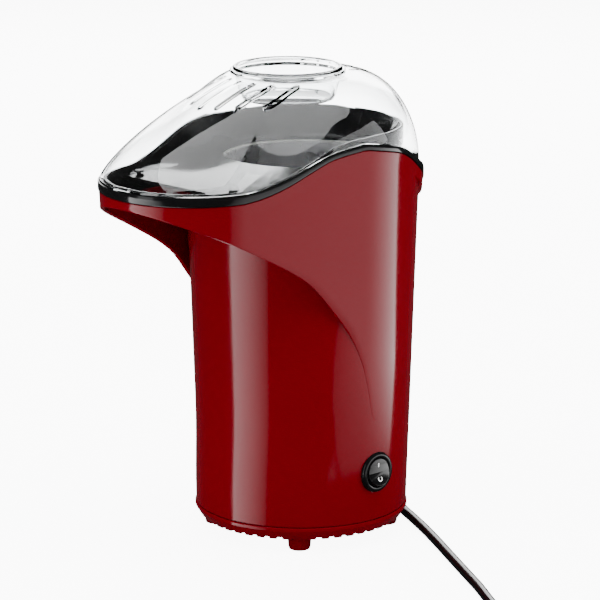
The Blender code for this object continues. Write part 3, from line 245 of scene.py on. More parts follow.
class Bench:
    """The shop's small tools: each acts on one object at a time."""

    @staticmethod
    def pick(obj: bpy.types.Object) -> None:
        """Selects one object alone and makes it active."""
        bpy.ops.object.select_all(action="DESELECT")
        obj.select_set(True)
        bpy.context.view_layer.objects.active = obj

    @staticmethod
    def settle(obj: bpy.types.Object) -> bpy.types.Object:
        """Moves an object's place and turn into its mesh, and returns it."""
        Bench.pick(obj)
        bpy.ops.object.transform_apply(location=True, rotation=True, scale=True)
        return obj

    @staticmethod
    def apply(obj: bpy.types.Object, kind: str, **settings: object) -> None:
        """Adds a modifier and applies it.

        Args:
            obj: The object that gets it.
            kind: The modifier's type.
            settings: The modifier's settings, by name.
        """
        Bench.pick(obj)
        modifier = obj.modifiers.new(kind.lower(), kind)
        for name, value in settings.items():
            setattr(modifier, name, value)
        bpy.ops.object.modifier_apply(modifier=modifier.name)

    @staticmethod
    def cut(obj: bpy.types.Object, cutter: bpy.types.Object, how: str = "DIFFERENCE") -> None:
        """Cuts one solid with another, or joins them, and removes the second.

        Args:
            obj: The solid that is kept.
            cutter: The other one.
            how: The Boolean's operation.
        """
        Bench.apply(obj, "BOOLEAN", object=cutter, operation=how, solver="EXACT")
        bpy.data.objects.remove(cutter, do_unlink=True)

    @staticmethod
    def edit(obj: bpy.types.Object, steps: Callable[[], object]) -> None:
        """Runs some edit-mode steps with all of the mesh selected."""
        Bench.pick(obj)
        bpy.ops.object.mode_set(mode="EDIT")
        bpy.ops.mesh.select_all(action="SELECT")
        steps()
        bpy.ops.object.mode_set(mode="OBJECT")

    @staticmethod
    def tidy(obj: bpy.types.Object, distance: float = 1e-6) -> None:
        """Merges doubled points and turns the faces outwards."""

        def steps() -> None:
            bpy.ops.mesh.remove_doubles(threshold=distance)
            bpy.ops.mesh.normals_make_consistent(inside=False)

        Bench.edit(obj, steps)

    @staticmethod
    def smooth(obj: bpy.types.Object, degrees: float = 30.0) -> bpy.types.Object:
        """Shades an object smooth where its faces meet at less than an angle, and returns it."""
        Bench.pick(obj)
        bpy.ops.object.shade_smooth_by_angle(angle=math.radians(degrees))
        return obj

    @staticmethod
    def loft(name: str, rings: Sequence[Sequence[Point]], filled: bool = False) -> bpy.types.Object:
        """Skins rings of points, down the outer side and back up the inner one.

        Args:
            name: The object's name.
            rings: The rings, each with the same number of points.
            filled: Whether the first and last rings shrink to a point instead of meeting.

        Returns:
            The closed shape, standing on the column's axis.
        """
        shape = bmesh.new()
        rows = [[shape.verts.new((x, y + AXIS_Y, z)) for x, y, z in ring] for ring in rings]
        pairs = list(zip(rows, rows[1:])) + ([] if filled else [(rows[-1], rows[0])])
        for upper, lower in pairs:
            for k, corner in enumerate(upper):
                after = (k + 1) % len(upper)
                shape.faces.new((corner, lower[k], lower[after], upper[after]))
        bmesh.ops.remove_doubles(shape, verts=shape.verts, dist=1e-7)
        bmesh.ops.recalc_face_normals(shape, faces=shape.faces)
        mesh = bpy.data.meshes.new(name)
        shape.to_mesh(mesh)
        shape.free()
        obj = bpy.data.objects.new(name, mesh)
        bpy.context.scene.collection.objects.link(obj)
        return obj

    @staticmethod
    def spun(
        name: str, profile: Chain, centre: Point, steps: int = 96, along_x: bool = False
    ) -> bpy.types.Object:
        """Turns a closed profile of (radius, height) with the spin tool.

        Args:
            name: The object's name.
            profile: The profile, which may touch the axis.
            centre: Where the axis and the height's zero are.
            steps: How many faces go round.
            along_x: Whether the axis points to +X instead of +Z.

        Returns:
            The turned piece.
        """
        bpy.ops.object.select_all(action="DESELECT")
        mesh = bpy.data.meshes.new(name)
        count = len(profile)
        edges = [(k, (k + 1) % count) for k in range(count)]
        mesh.from_pydata([(radius, 0.0, height) for radius, height in profile], edges, [])
        obj = bpy.data.objects.new(name, mesh)
        bpy.context.scene.collection.objects.link(obj)
        Bench.edit(
            obj,
            lambda: bpy.ops.mesh.spin(
                steps=steps, angle=2 * math.pi, center=(0, 0, 0), axis=(0, 0, 1)
            ),
        )
        Bench.edit(obj, Bench._clean_spin)
        if along_x:
            obj.rotation_euler = (0, math.pi / 2, 0)
        obj.location = centre
        return Bench.settle(obj)

    @staticmethod
    def _clean_spin() -> None:
        """Closes a spin's seam and poles and turns its faces outwards."""
        bpy.ops.mesh.remove_doubles(threshold=2e-6)
        bpy.ops.mesh.dissolve_degenerate(threshold=1e-7)
        bpy.ops.mesh.delete_loose()
        bpy.ops.mesh.select_all(action="SELECT")
        bpy.ops.mesh.normals_make_consistent(inside=False)

    @staticmethod
    def slot_cutter(width: float, length: float, centre: Point, height: float) -> bpy.types.Object:
        """Makes an upright bar with round ends, long in Y.

        Args:
            width: Its width.
            length: Its length over the ends.
            centre: The middle of its bottom.
            height: Its height.

        Returns:
            The bar.
        """
        bpy.ops.object.select_all(action="DESELECT")
        bpy.ops.mesh.primitive_circle_add(vertices=20, radius=width / 2, fill_type="NGON")
        obj = bpy.context.object
        for vertex in obj.data.vertices:
            vertex.co.y += math.copysign((length - width) / 2, vertex.co.y)
        Bench.edit(
            obj,
            lambda: bpy.ops.mesh.extrude_region_move(
                TRANSFORM_OT_translate={"value": (0, 0, height)}
            ),
        )
        obj.location = centre
        Bench.settle(obj)
        Bench.tidy(obj)
        return obj

    @staticmethod
    def block(name: str, size: Point, centre: Point, bevel: float = 0.0) -> bpy.types.Object:
        """Makes a box with rounded edges.

        Args:
            name: Its name.
            size: Its size each way.
            centre: Its middle.
            bevel: The radius of its edges.

        Returns:
            The box.
        """
        bpy.ops.object.select_all(action="DESELECT")
        bpy.ops.mesh.primitive_cube_add(size=1.0, location=centre)
        obj = bpy.context.object
        obj.name, obj.scale = name, size
        Bench.settle(obj)
        if bevel:
            Bench.apply(obj, "BEVEL", width=bevel, segments=3, limit_method="NONE")
        return obj

    @staticmethod
    def refined(node: str, name: str, bevel: float = 0.0) -> bpy.types.Object:
        """Copies a CAD node, merges it and softens its edges.

        Args:
            node: The CAD node.
            name: The new piece's name.
            bevel: The radius of the softened edges.

        Returns:
            The new piece.
        """
        obj = frame["nodes"][node].copy()
        obj.data = obj.data.copy()
        obj.name = name
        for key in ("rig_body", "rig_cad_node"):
            del obj[key]
        obj.parent = None
        obj.data.materials.clear()
        bpy.context.scene.collection.objects.link(obj)

        def steps() -> None:
            bpy.ops.mesh.customdata_custom_splitnormals_clear()
            bpy.ops.mesh.remove_doubles(threshold=2e-6)
            bpy.ops.mesh.dissolve_limited(angle_limit=math.radians(1.0))

        Bench.edit(obj, steps)
        if bevel:
            Bench.apply(
                obj, "BEVEL", width=bevel, segments=2, limit_method="ANGLE",
                angle_limit=math.radians(35), use_clamp_overlap=True,
            )
        return Bench.smooth(obj, 32.0)

    @staticmethod
    def hand_over(
        obj: bpy.types.Object, finish: Finish, body: str, nodes: Iterable[str] = ()
    ) -> bpy.types.Object:
        """Dresses a finished piece and puts it on its body.

        Args:
            obj: The piece.
            finish: Its finish.
            body: The body that it moves with.
            nodes: The CAD nodes that it stands for.

        Returns:
            The piece.
        """
        obj.data.materials.clear()
        obj.data.materials.append(finish.material())
        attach(obj, body)
        nodes = tuple(nodes)
        if nodes:
            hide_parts(*nodes)
        LOG.info("%s rides on %s in %s", obj.name, body, finish.name)
        return obj


def mix(a: float, b: float, share: float) -> float:
    """Gives the value a share of the way from a to b."""
    return a + (b - a) * share


def ease(low: float, high: float, x: float) -> float:
    """Gives 0 below low, 1 above high, and an S curve between."""
    u = min(max((x - low) / (high - low), 0.0), 1.0)
    return u * u * (3 - 2 * u)


def smooth_line(*points: tuple[float, float]) -> Callable[[float], float]:
    """Makes a cubic through points that never overshoots them.

    Args:
        points: The (x, y) points, in order of x.

    Returns:
        The curve's height as a function of x.
    """
    xs, ys = [p[0] for p in points], [p[1] for p in points]
    slope = [(ys[k + 1] - ys[k]) / (xs[k + 1] - xs[k]) for k in range(len(xs) - 1)]
    middle = [2 * a * b / (a + b) if a * b > 0 else 0.0 for a, b in zip(slope, slope[1:])]
    tangent = [slope[0], *middle, slope[-1]]

    def height(x: float) -> float:
        x = min(max(x, xs[0]), xs[-1])
        k = max(k for k in range(len(slope)) if k == 0 or xs[k] <= x)
        width = xs[k + 1] - xs[k]
        u = (x - xs[k]) / width
        ends = (1 + 2 * u) * (1 - u) ** 2 * ys[k] + u * u * (3 - 2 * u) * ys[k + 1]
        return ends + u * (1 - u) * width * ((1 - u) * tangent[k] - u * tangent[k + 1])

    return height


def rounded(chain: Chain, radius: float, steps: int = 3) -> Chain:
    """Rounds the corners of a closed section.

    Args:
        chain: The section's (radius, height) points.
        radius: How far each corner is drawn back along its sides.
        steps: How many spans each corner gets.

    Returns:
        The rounded section, with the same number of points for each corner.
    """
    found: Chain = []
    count = len(chain)
    for k, corner in enumerate(chain):
        here = Vector(corner)
        before, after = Vector(chain[k - 1]) - here, Vector(chain[(k + 1) % count]) - here
        start = here + before * min(1.0, radius / max(before.length, 1e-9), 0.45)
        end = here + after * min(1.0, radius / max(after.length, 1e-9), 0.45)
        for step in range(steps + 1):
            u = step / steps
            at = start * (1 - u) ** 2 + here * 2 * u * (1 - u) + end * u * u
            found.append((at.x, at.y))
    return found


# --- The body's outline --------------------------------------------------------------------------


@dataclass
class Plan:
    """The column and hood in plan, and the heights of the rim and the hood's lower edge."""

    base_radius: float = 64.7 * MM
    rim_radius: float = 71.6 * MM
    nose_radius: float = 56.0 * MM
    nose_reach: float = 143.0 * MM
    wall: float = 2.6 * MM
    recess: float = 3.0 * MM
    seam_z: float = 16.2 * MM
    side_crease_z: float = 80.0 * MM
    nose_crease_z: float = 219.0 * MM
    crease_start: float = 5.0 * MM
    lip_z: float = 211.0 * MM
    nose_rim_z: float = 230.0 * MM
    hump_z: float = 250.5 * MM
    back_rim_z: float = 207.0 * MM
    hump_forward: float = 15.0 * MM
    trim_proud: float = 0.6 * MM
    catch_proud: float = 2.2 * MM
    rise: Callable[[float], float] = field(
        default=smooth_line((0, 0), (0.35, 0), (0.48, 0.11), (0.59, 0.3), (0.71, 0.58), (0.83, 0.84), (1, 1))
    )
    fall: Callable[[float], float] = field(
        default=smooth_line((0, 0), (0.31, 0.12), (0.46, 0.24), (0.68, 0.51), (1, 1))
    )
    crease: Callable[[float], float] = field(
        default=smooth_line(
            (0, 0), (0.03, 0.14), (0.065, 0.26), (0.13, 0.39), (0.24, 0.53), (0.35, 0.65), (0.6, 0.8), (1, 1)
        )
    )

    def __post_init__(self) -> None:
        """Works out the two circles' common tangent and the wall's draft."""
        self.draft = (self.rim_radius - self.base_radius) / (self.nose_rim_z - self.seam_z)
        self.nose_centre = self.nose_reach - self.nose_radius
        self.tangent = math.acos((self.rim_radius - self.nose_radius) / self.nose_centre)

    def column(self, z: float) -> float:
        """Gives the column's radius at a height."""
        return self.base_radius + self.draft * (z - self.seam_z)

    def angles(self, nose: int, side: int, back: int) -> list[float]:
        """Lists angles round the axis, closer together where the outline turns.

        Args:
            nose: Steps round half of the nose.
            side: Steps along one side.
            back: Steps round half of the back.

        Returns:
            The angles, once round.
        """
        half = []
        for k in range(nose + 1):
            a = self.tangent * k / nose
            across = self.nose_radius * math.sin(a)
            half.append(math.atan2(across, self.nose_centre + self.nose_radius * math.cos(a)))
        half += [mix(half[nose], self.tangent, k / side) for k in range(1, side + 1)]
        half += [mix(self.tangent, math.pi, k / back) for k in range(1, back + 1)]
        return half + [-angle for angle in reversed(half[1:-1])]

    def outline(self, angle: float, z: float, inset: float = 0.0) -> float:
        """Gives the distance from the axis to the hood's outline.

        Args:
            angle: The direction.
            z: The height, for the wall's draft.
            inset: How far inside the outline, square to it.

        Returns:
            The distance.
        """
        grow = self.draft * (z - self.nose_rim_z) - inset
        big, small = self.rim_radius + grow, self.nose_radius + grow
        angle = abs(angle)
        across = small * math.sin(self.tangent)
        corner = math.atan2(across, self.nose_centre + small * math.cos(self.tangent))
        if angle >= self.tangent:
            return big
        if angle > corner:
            return big / math.cos(self.tangent - angle)
        aside = self.nose_centre * math.sin(angle)
        return self.nose_centre * math.cos(angle) + math.sqrt(small**2 - aside**2)

    def front(self, angle: float, z: float) -> float:
        """Gives the radius of the column's face, which stands back under the hood."""
        back = self.recess * max(0.0, math.cos(angle)) ** 1.5
        return self.column(z) - back * ease(self.seam_z, self.side_crease_z, z)

    def rim(self, angle: float) -> tuple[float, float]:
        """Gives the (radius, height) of the rim's outer edge in a direction."""
        radius = self.outline(angle, self.hump_z)
        height = self.hump_z
        for _ in range(4):
            height = self.rim_height(radius * math.cos(angle))
            radius = self.outline(angle, height)
        return radius, height

    def rim_height(self, forward: float) -> float:
        """Gives the rim's height at a distance forward of the axis."""
        if forward >= self.hump_forward:
            way = (self.nose_reach - forward) / (self.nose_reach - self.hump_forward)
            return mix(self.nose_rim_z, self.hump_z, self.rise(way))
        way = (self.hump_forward - forward) / (self.hump_forward + self.rim_radius)
        return mix(self.hump_z, self.back_rim_z, self.fall(way))

    def crease_at(self, angle: float) -> float:
        """Gives the height of the hood's lower edge in a direction."""
        forward = self.outline(angle, self.nose_crease_z) * math.cos(angle)
        way = (forward - self.crease_start) / (self.nose_reach - self.crease_start)
        return mix(self.side_crease_z, self.nose_crease_z, self.crease(way))

    def catch(self, angle: float) -> float:
        """Gives 1 round the back, where the rim stands out as a catch band, and 0 elsewhere."""
        return ease(math.radians(116), math.radians(126), abs(angle))

    def trim_height(self, angle: float) -> float:
        """Gives the height of the black trim band in a direction."""
        band = mix(3.4 * MM, 5.5 * MM, ease(0.5, 0.95, math.cos(angle)))
        return mix(band, 5.0 * MM, self.catch(angle))

    def trim_radius(self, angle: float) -> float:
        """Gives the radius of the trim band's outer face in a direction."""
        proud = self.trim_proud + self.catch_proud * self.catch(angle)
        return self.outline(angle, self.rim(angle)[1], -proud)


PLAN = Plan()
FINE = PLAN.angles(44, 16, 52)


def wrapped(
    name: str, section: Callable[[float], Chain], filled: bool = False
) -> bpy.types.Object:
    """Lofts a section that changes with the direction.

    Args:
        name: The object's name.
        section: Gives the (radius, height) points in a direction.
        filled: Whether the section starts and ends on the axis.

    Returns:
        The shape.
    """
    chains = [section(angle) for angle in FINE]
    rings = [
        [
            (chain[k][0] * math.sin(angle), -chain[k][0] * math.cos(angle), chain[k][1])
            for angle, chain in zip(FINE, chains)
        ]
        for k in range(len(chains[0]))
    ]
    return Bench.loft(name, rings, filled)


# --- Housing and base ----------------------------------------------------------------------------


@dataclass
class Housing:
    """The red column and hood, in one moulding."""

    edge: float = 1.1 * MM
    levels: int = 12

    def build(self) -> None:
        """Makes the moulding and hands it over."""
        shell = wrapped("housing_moulding", self._outer, filled=True)
        Bench.cut(shell, wrapped("inside", self._inside, filled=True))
        Bench.cut(shell, self._outlet())
        Bench.cut(shell, self._switch_seat())
        Bench.cut(shell, self._cord_notch())
        Bench.smooth(shell, 28.0)
        Bench.hand_over(shell, RED, "base", ["housing"])

    def _outer(self, angle: float) -> Chain:
        """Gives the outer section, from the top of the axis to the bottom of it."""
        radius, rim = PLAN.rim(angle)
        top = rim - PLAN.trim_height(angle) - GAP
        crease = PLAN.crease_at(angle)
        proud = PLAN.catch_proud * PLAN.catch(angle)
        catch_z = max(top - 7.0 * MM, crease + 3 * self.edge)
        face = PLAN.front(angle, crease)
        ledge = min(self.edge, max(0.0, PLAN.outline(angle, crease) - face))
        chain = [(0.0, top), (radius - 3 * PLAN.wall, top), (radius + proud - 0.4 * MM, top)]
        chain += [(radius + proud, top - 0.4 * MM)]
        chain += [(PLAN.outline(angle, catch_z) + proud, catch_z + 0.3 * MM)]
        chain += [(PLAN.outline(angle, catch_z - 0.5 * MM), catch_z - 0.5 * MM)]
        for k in range(1, self.levels):
            z = mix(catch_z - 0.5 * MM, crease + self.edge, k / self.levels)
            chain.append((PLAN.outline(angle, z), z))
        for turn in (0.0, 30.0, 60.0, 90.0):
            a = math.radians(turn)
            z = crease + self.edge * (1 - math.sin(a))
            chain.append((PLAN.outline(angle, z) - ledge * (1 - math.cos(a)), z))
        chain.append((mix(chain[-1][0], face, 0.6), crease))
        for k in range(self.levels + 1):
            z = mix(crease - 0.2 * MM, PLAN.seam_z + GAP + 0.5 * MM, k / self.levels)
            chain.append((PLAN.front(angle, z), z))
        seam = PLAN.seam_z + GAP
        return chain + [(PLAN.column(seam) - 0.5 * MM, seam), (0.0, seam)]

    def _inside(self, angle: float) -> Chain:
        """Gives the section of the space inside the column and the top of the hood."""
        above, below = 262 * MM, PLAN.seam_z - 5 * MM
        over = PLAN.lip_z + 0.5 * MM
        chain = [(0.0, above), (PLAN.outline(angle, above, PLAN.wall), above)]
        chain.append((PLAN.outline(angle, over, PLAN.wall), over))
        for k in range(7):
            z = mix(PLAN.lip_z, below, k / 6)
            chain.append((PLAN.front(angle, z) - PLAN.wall, z))
        return chain + [(0.0, below)]

    def _outlet(self) -> bpy.types.Object:
        """Makes the space under the hood, in front of the column."""
        heights = [mix(PLAN.lip_z + 1 * MM, 60 * MM, k / 8) for k in range(9)]
        room = [
            angle
            for angle in sorted(FINE)
            if PLAN.outline(angle, 80 * MM, PLAN.wall) - PLAN.front(angle, 80 * MM) > 1.0 * MM
        ]
        shape = bmesh.new()
        sections = []
        for angle in room:
            chain = [(PLAN.outline(angle, z, PLAN.wall + 0.05 * MM), z) for z in heights]
            chain += [(PLAN.front(angle, z) + 0.12 * MM, z) for z in reversed(heights)]
            sections.append(
                [
                    shape.verts.new((r * math.sin(angle), AXIS_Y - r * math.cos(angle), z))
                    for r, z in chain
                ]
            )
        for first, second in zip(sections, sections[1:]):
            for k, corner in enumerate(first):
                after = (k + 1) % len(first)
                shape.faces.new((corner, first[after], second[after], second[k]))
        shape.faces.new(sections[0])
        shape.faces.new(sections[-1])
        bmesh.ops.recalc_face_normals(shape, faces=shape.faces)
        mesh = bpy.data.meshes.new("outlet")
        shape.to_mesh(mesh)
        shape.free()
        obj = bpy.data.objects.new("outlet", mesh)
        bpy.context.scene.collection.objects.link(obj)
        return obj

    def _switch_seat(self) -> bpy.types.Object:
        """Makes the flat round seat and hole that take the switch."""
        face, barrel, seat = SWITCH.face, SWITCH.barrel_radius + GAP, SWITCH.bezel_radius + GAP
        low, high = face - 12 * MM, face + 12 * MM
        profile = [(0, high), (seat, high), (seat, face - GAP), (barrel, face - GAP)]
        profile += [(barrel, low), (0, low)]
        return Bench.spun("seat", profile, (0, AXIS_Y, SWITCH.height), 64, along_x=True)

    def _cord_notch(self) -> bpy.types.Object:
        """Makes the round hole on the seam that the mains lead leaves by."""
        bpy.ops.object.select_all(action="DESELECT")
        bpy.ops.mesh.primitive_cylinder_add(vertices=40, radius=5.0 * MM, depth=30 * MM)
        obj = bpy.context.object
        angle = math.radians(188)
        obj.rotation_euler = (math.pi / 2, 0, angle)
        reach = 65 * MM
        x, y = reach * math.sin(angle), AXIS_Y - reach * math.cos(angle)
        obj.location = (x, y, PLAN.seam_z + GAP / 2)
        return Bench.settle(obj)


@dataclass
class Base:
    """The red cover under the column, with its air slots and four feet."""

    foot_height: float = 8.0 * MM
    foot_radius: float = 7.3 * MM
    foot_orbit: float = 52.5 * MM
    proud: float = 0.6 * MM
    drawn_in: float = 4.3 * MM
    slots: int = 48
    slot_width: float = 4.0 * MM

    def build(self) -> None:
        """Makes the cover and the feet and hands them over."""
        outer, inner = PLAN.base_radius + self.proud, PLAN.base_radius - PLAN.wall - 2 * GAP
        seam, low = PLAN.seam_z, self.foot_height
        plate = low + 2.4 * MM
        profile = [(0, plate), (inner - 3 * MM, plate), (inner - 2.2 * MM, plate + 2 * MM)]
        profile += [(inner - 2.2 * MM, seam + 5 * MM), (inner, seam + 5 * MM), (inner, seam)]
        profile += [(outer - 0.5 * MM, seam), (outer, seam - 0.5 * MM), (outer, seam - 2 * MM)]
        profile += [(outer - self.drawn_in + 0.8 * MM, low + 0.5 * MM)]
        profile += [(outer - self.drawn_in, low), (0, low)]
        cover = Bench.spun("base_ring", profile, (0, AXIS_Y, 0), 144)
        notch = self._slot_rake(outer)
        Bench.cut(cover, notch)
        Bench.smooth(cover, 30.0)
        Bench.hand_over(cover, RED, "base", ["base_cover"])
        for corner in ("front_right", "rear_right", "rear_left", "front_left"):
            self._foot(corner)

    def _slot_rake(self, outer: float) -> bpy.types.Object:
        """Makes the bars that cut the air slots, as one object."""
        bars = []
        for k in range(self.slots):
            angle = 2 * math.pi * (k + 0.5) / self.slots
            if abs((angle % (math.pi / 2)) - math.pi / 4) * self.foot_orbit < 9.5 * MM:
                continue
            size = (self.slot_width, 17 * MM, 5.2 * MM)
            bar = Bench.block("bar", size, (0, 0, 0), 0.4 * MM)
            reach = outer - 8.5 * MM
            bar.rotation_euler = (0, 0, angle)
            bar.location = (
                reach * math.sin(angle), AXIS_Y - reach * math.cos(angle), self.foot_height - 1 * MM
            )
            bars.append(Bench.settle(bar))
        bpy.ops.object.select_all(action="DESELECT")
        for bar in bars:
            bar.select_set(True)
        bpy.context.view_layer.objects.active = bars[0]
        bpy.ops.object.join()
        return bars[0]

    def _foot(self, corner: str) -> None:
        """Makes one foot, with its softened edge and screw pocket."""
        low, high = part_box(f"foot_{corner}")
        x, y = (low.x + high.x) / 2, (low.y + high.y) / 2
        outer, top = self.foot_radius, self.foot_height - GAP
        profile = [(outer, top), (outer - 0.5 * MM, 2 * MM), (outer - 0.8 * MM, 0.9 * MM)]
        profile += [(outer - 1.1 * MM, 0.3 * MM), (outer - 1.7 * MM, 0), (4.3 * MM, 0)]
        profile += [(4.0 * MM, 0.3 * MM), (4.0 * MM, 4.6 * MM), (2.2 * MM, 4.6 * MM), (2.2 * MM, top)]
        foot = Bench.smooth(Bench.spun(f"round_foot_{corner}", profile, (x, y, 0), 40))
        Bench.hand_over(foot, RED, "base", [f"foot_{corner}"])


# --- Chute, lid and cup --------------------------------------------------------------------------


@dataclass
class Chute:
    """The gloss black chute: trim band, funnel, throat and ramp in one moulding."""

    funnel_radius: float = 62.0 * MM
    funnel_z: float = 252.0 * MM
    wall: float = 2.0 * MM
    throat: float = 46.8 * MM
    ramp_z: float = 233.5 * MM
    ramp_fall: float = 0.125
    ramp_end: float = 101.0 * MM
    skirt_z: float = 208.0 * MM
    liner_drop: float = 14.0 * MM

    def build(self) -> None:
        """Makes the moulding and its screws and hands them over."""
        chute = wrapped("chute_moulding", self._section)
        Bench.cut(chute, self._outlet_cut())
        for hand in ("left", "right"):
            low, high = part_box(f"chute_screw_{hand}")
            x, y = (low.x + high.x) / 2, (low.y + high.y) / 2
            hole = [(0, 260 * MM), (1.8 * MM, 260 * MM), (1.8 * MM, 210 * MM), (0, 210 * MM)]
            Bench.cut(chute, Bench.spun("hole", hole, (x, y, 0), 24))
            screw = Bench.refined(f"chute_screw_{hand}", f"ramp_screw_{hand}", 0.25 * MM)
            Bench.hand_over(screw, SATIN_BLACK, "base", [f"chute_screw_{hand}"])
        Bench.smooth(chute, 32.0)
        Bench.hand_over(chute, BLACK, "base", ["chute"])

    def _ramp(self, forward: float) -> float:
        """Gives the ramp's height at a distance forward of the axis."""
        return self.ramp_z - self.ramp_fall * max(0.0, forward - self.throat)

    def _section(self, angle: float) -> Chain:
        """Gives the section in a direction, with rounded corners."""
        rim = PLAN.rim(angle)[1]
        back = ease(math.radians(50), math.radians(95), abs(angle))
        cosine = math.cos(angle)
        outer = PLAN.trim_radius(angle)
        under = rim - PLAN.trim_height(angle)
        seat = PLAN.outline(angle, rim, PLAN.wall + 2 * GAP)
        lip = mix(seat, self.funnel_radius, back)
        lip_z = mix(rim + 1.2 * MM, self.funnel_z, back)
        inner = PLAN.outline(angle, rim, PLAN.wall + 2 * GAP + self.wall)
        foot = mix(inner, self.throat + 2 * MM, back)
        foot_z = mix(self._ramp(foot * cosine), self.ramp_z + 1.5 * MM, back)
        skirt, deck = self.funnel_radius, under - 0.5 * MM
        skirt_z = min(self.skirt_z, deck - 2 * self.wall)
        below = self._ramp(skirt * cosine) - self.wall
        room = max(0.0, foot_z - self.wall - PLAN.crease_at(angle) - 3 * MM)
        liner_z = foot_z - self.wall - min(self.liner_drop, room)
        liner = PLAN.outline(angle, liner_z, PLAN.wall + 2 * GAP)
        chain = [(lip, lip_z), (lip, rim), (outer, rim), (outer, under), (seat, under)]
        chain += [(mix(liner, skirt + 2 * MM, back), mix(liner_z, deck, back))]
        chain += [(skirt, mix(below, deck, back)), (skirt, skirt_z), (skirt - self.wall, skirt_z)]
        chain += [(skirt - self.wall, mix(below, self.funnel_z - 6 * MM, back))]
        chain += [(self.throat + 3 * MM, self.ramp_z - self.wall)]
        chain += [(self.throat, self.ramp_z - self.wall), (self.throat, self.ramp_z)]
        chain += [(foot, foot_z), (lip - self.wall, lip_z)]
        return rounded(chain, 0.7 * MM)

    def _outlet_cut(self) -> bpy.types.Object:
        """Makes the prism that opens the chute's floor in front of the ramp."""
        radius = PLAN.nose_radius - (PLAN.wall + 2 * GAP + self.wall + 1 * MM)
        half = math.acos((self.ramp_end - PLAN.nose_centre) / radius)
        points = []
        for k in range(61):
            a = mix(-half, half, k / 60)
            forward = PLAN.nose_centre + radius * math.cos(a)
            points.append((radius * math.sin(a), AXIS_Y - forward, PLAN.lip_z - 20 * MM))
        mesh = bpy.data.meshes.new("outlet_cut")
        mesh.from_pydata(points, [], [list(range(len(points)))])
        obj = bpy.data.objects.new("outlet_cut", mesh)
        bpy.context.scene.collection.objects.link(obj)
        Bench.edit(
            obj,
            lambda: bpy.ops.mesh.extrude_region_move(
                TRANSFORM_OT_translate={"value": (0, 0, 60 * MM)}
            ),
        )
        Bench.tidy(obj)
        return obj


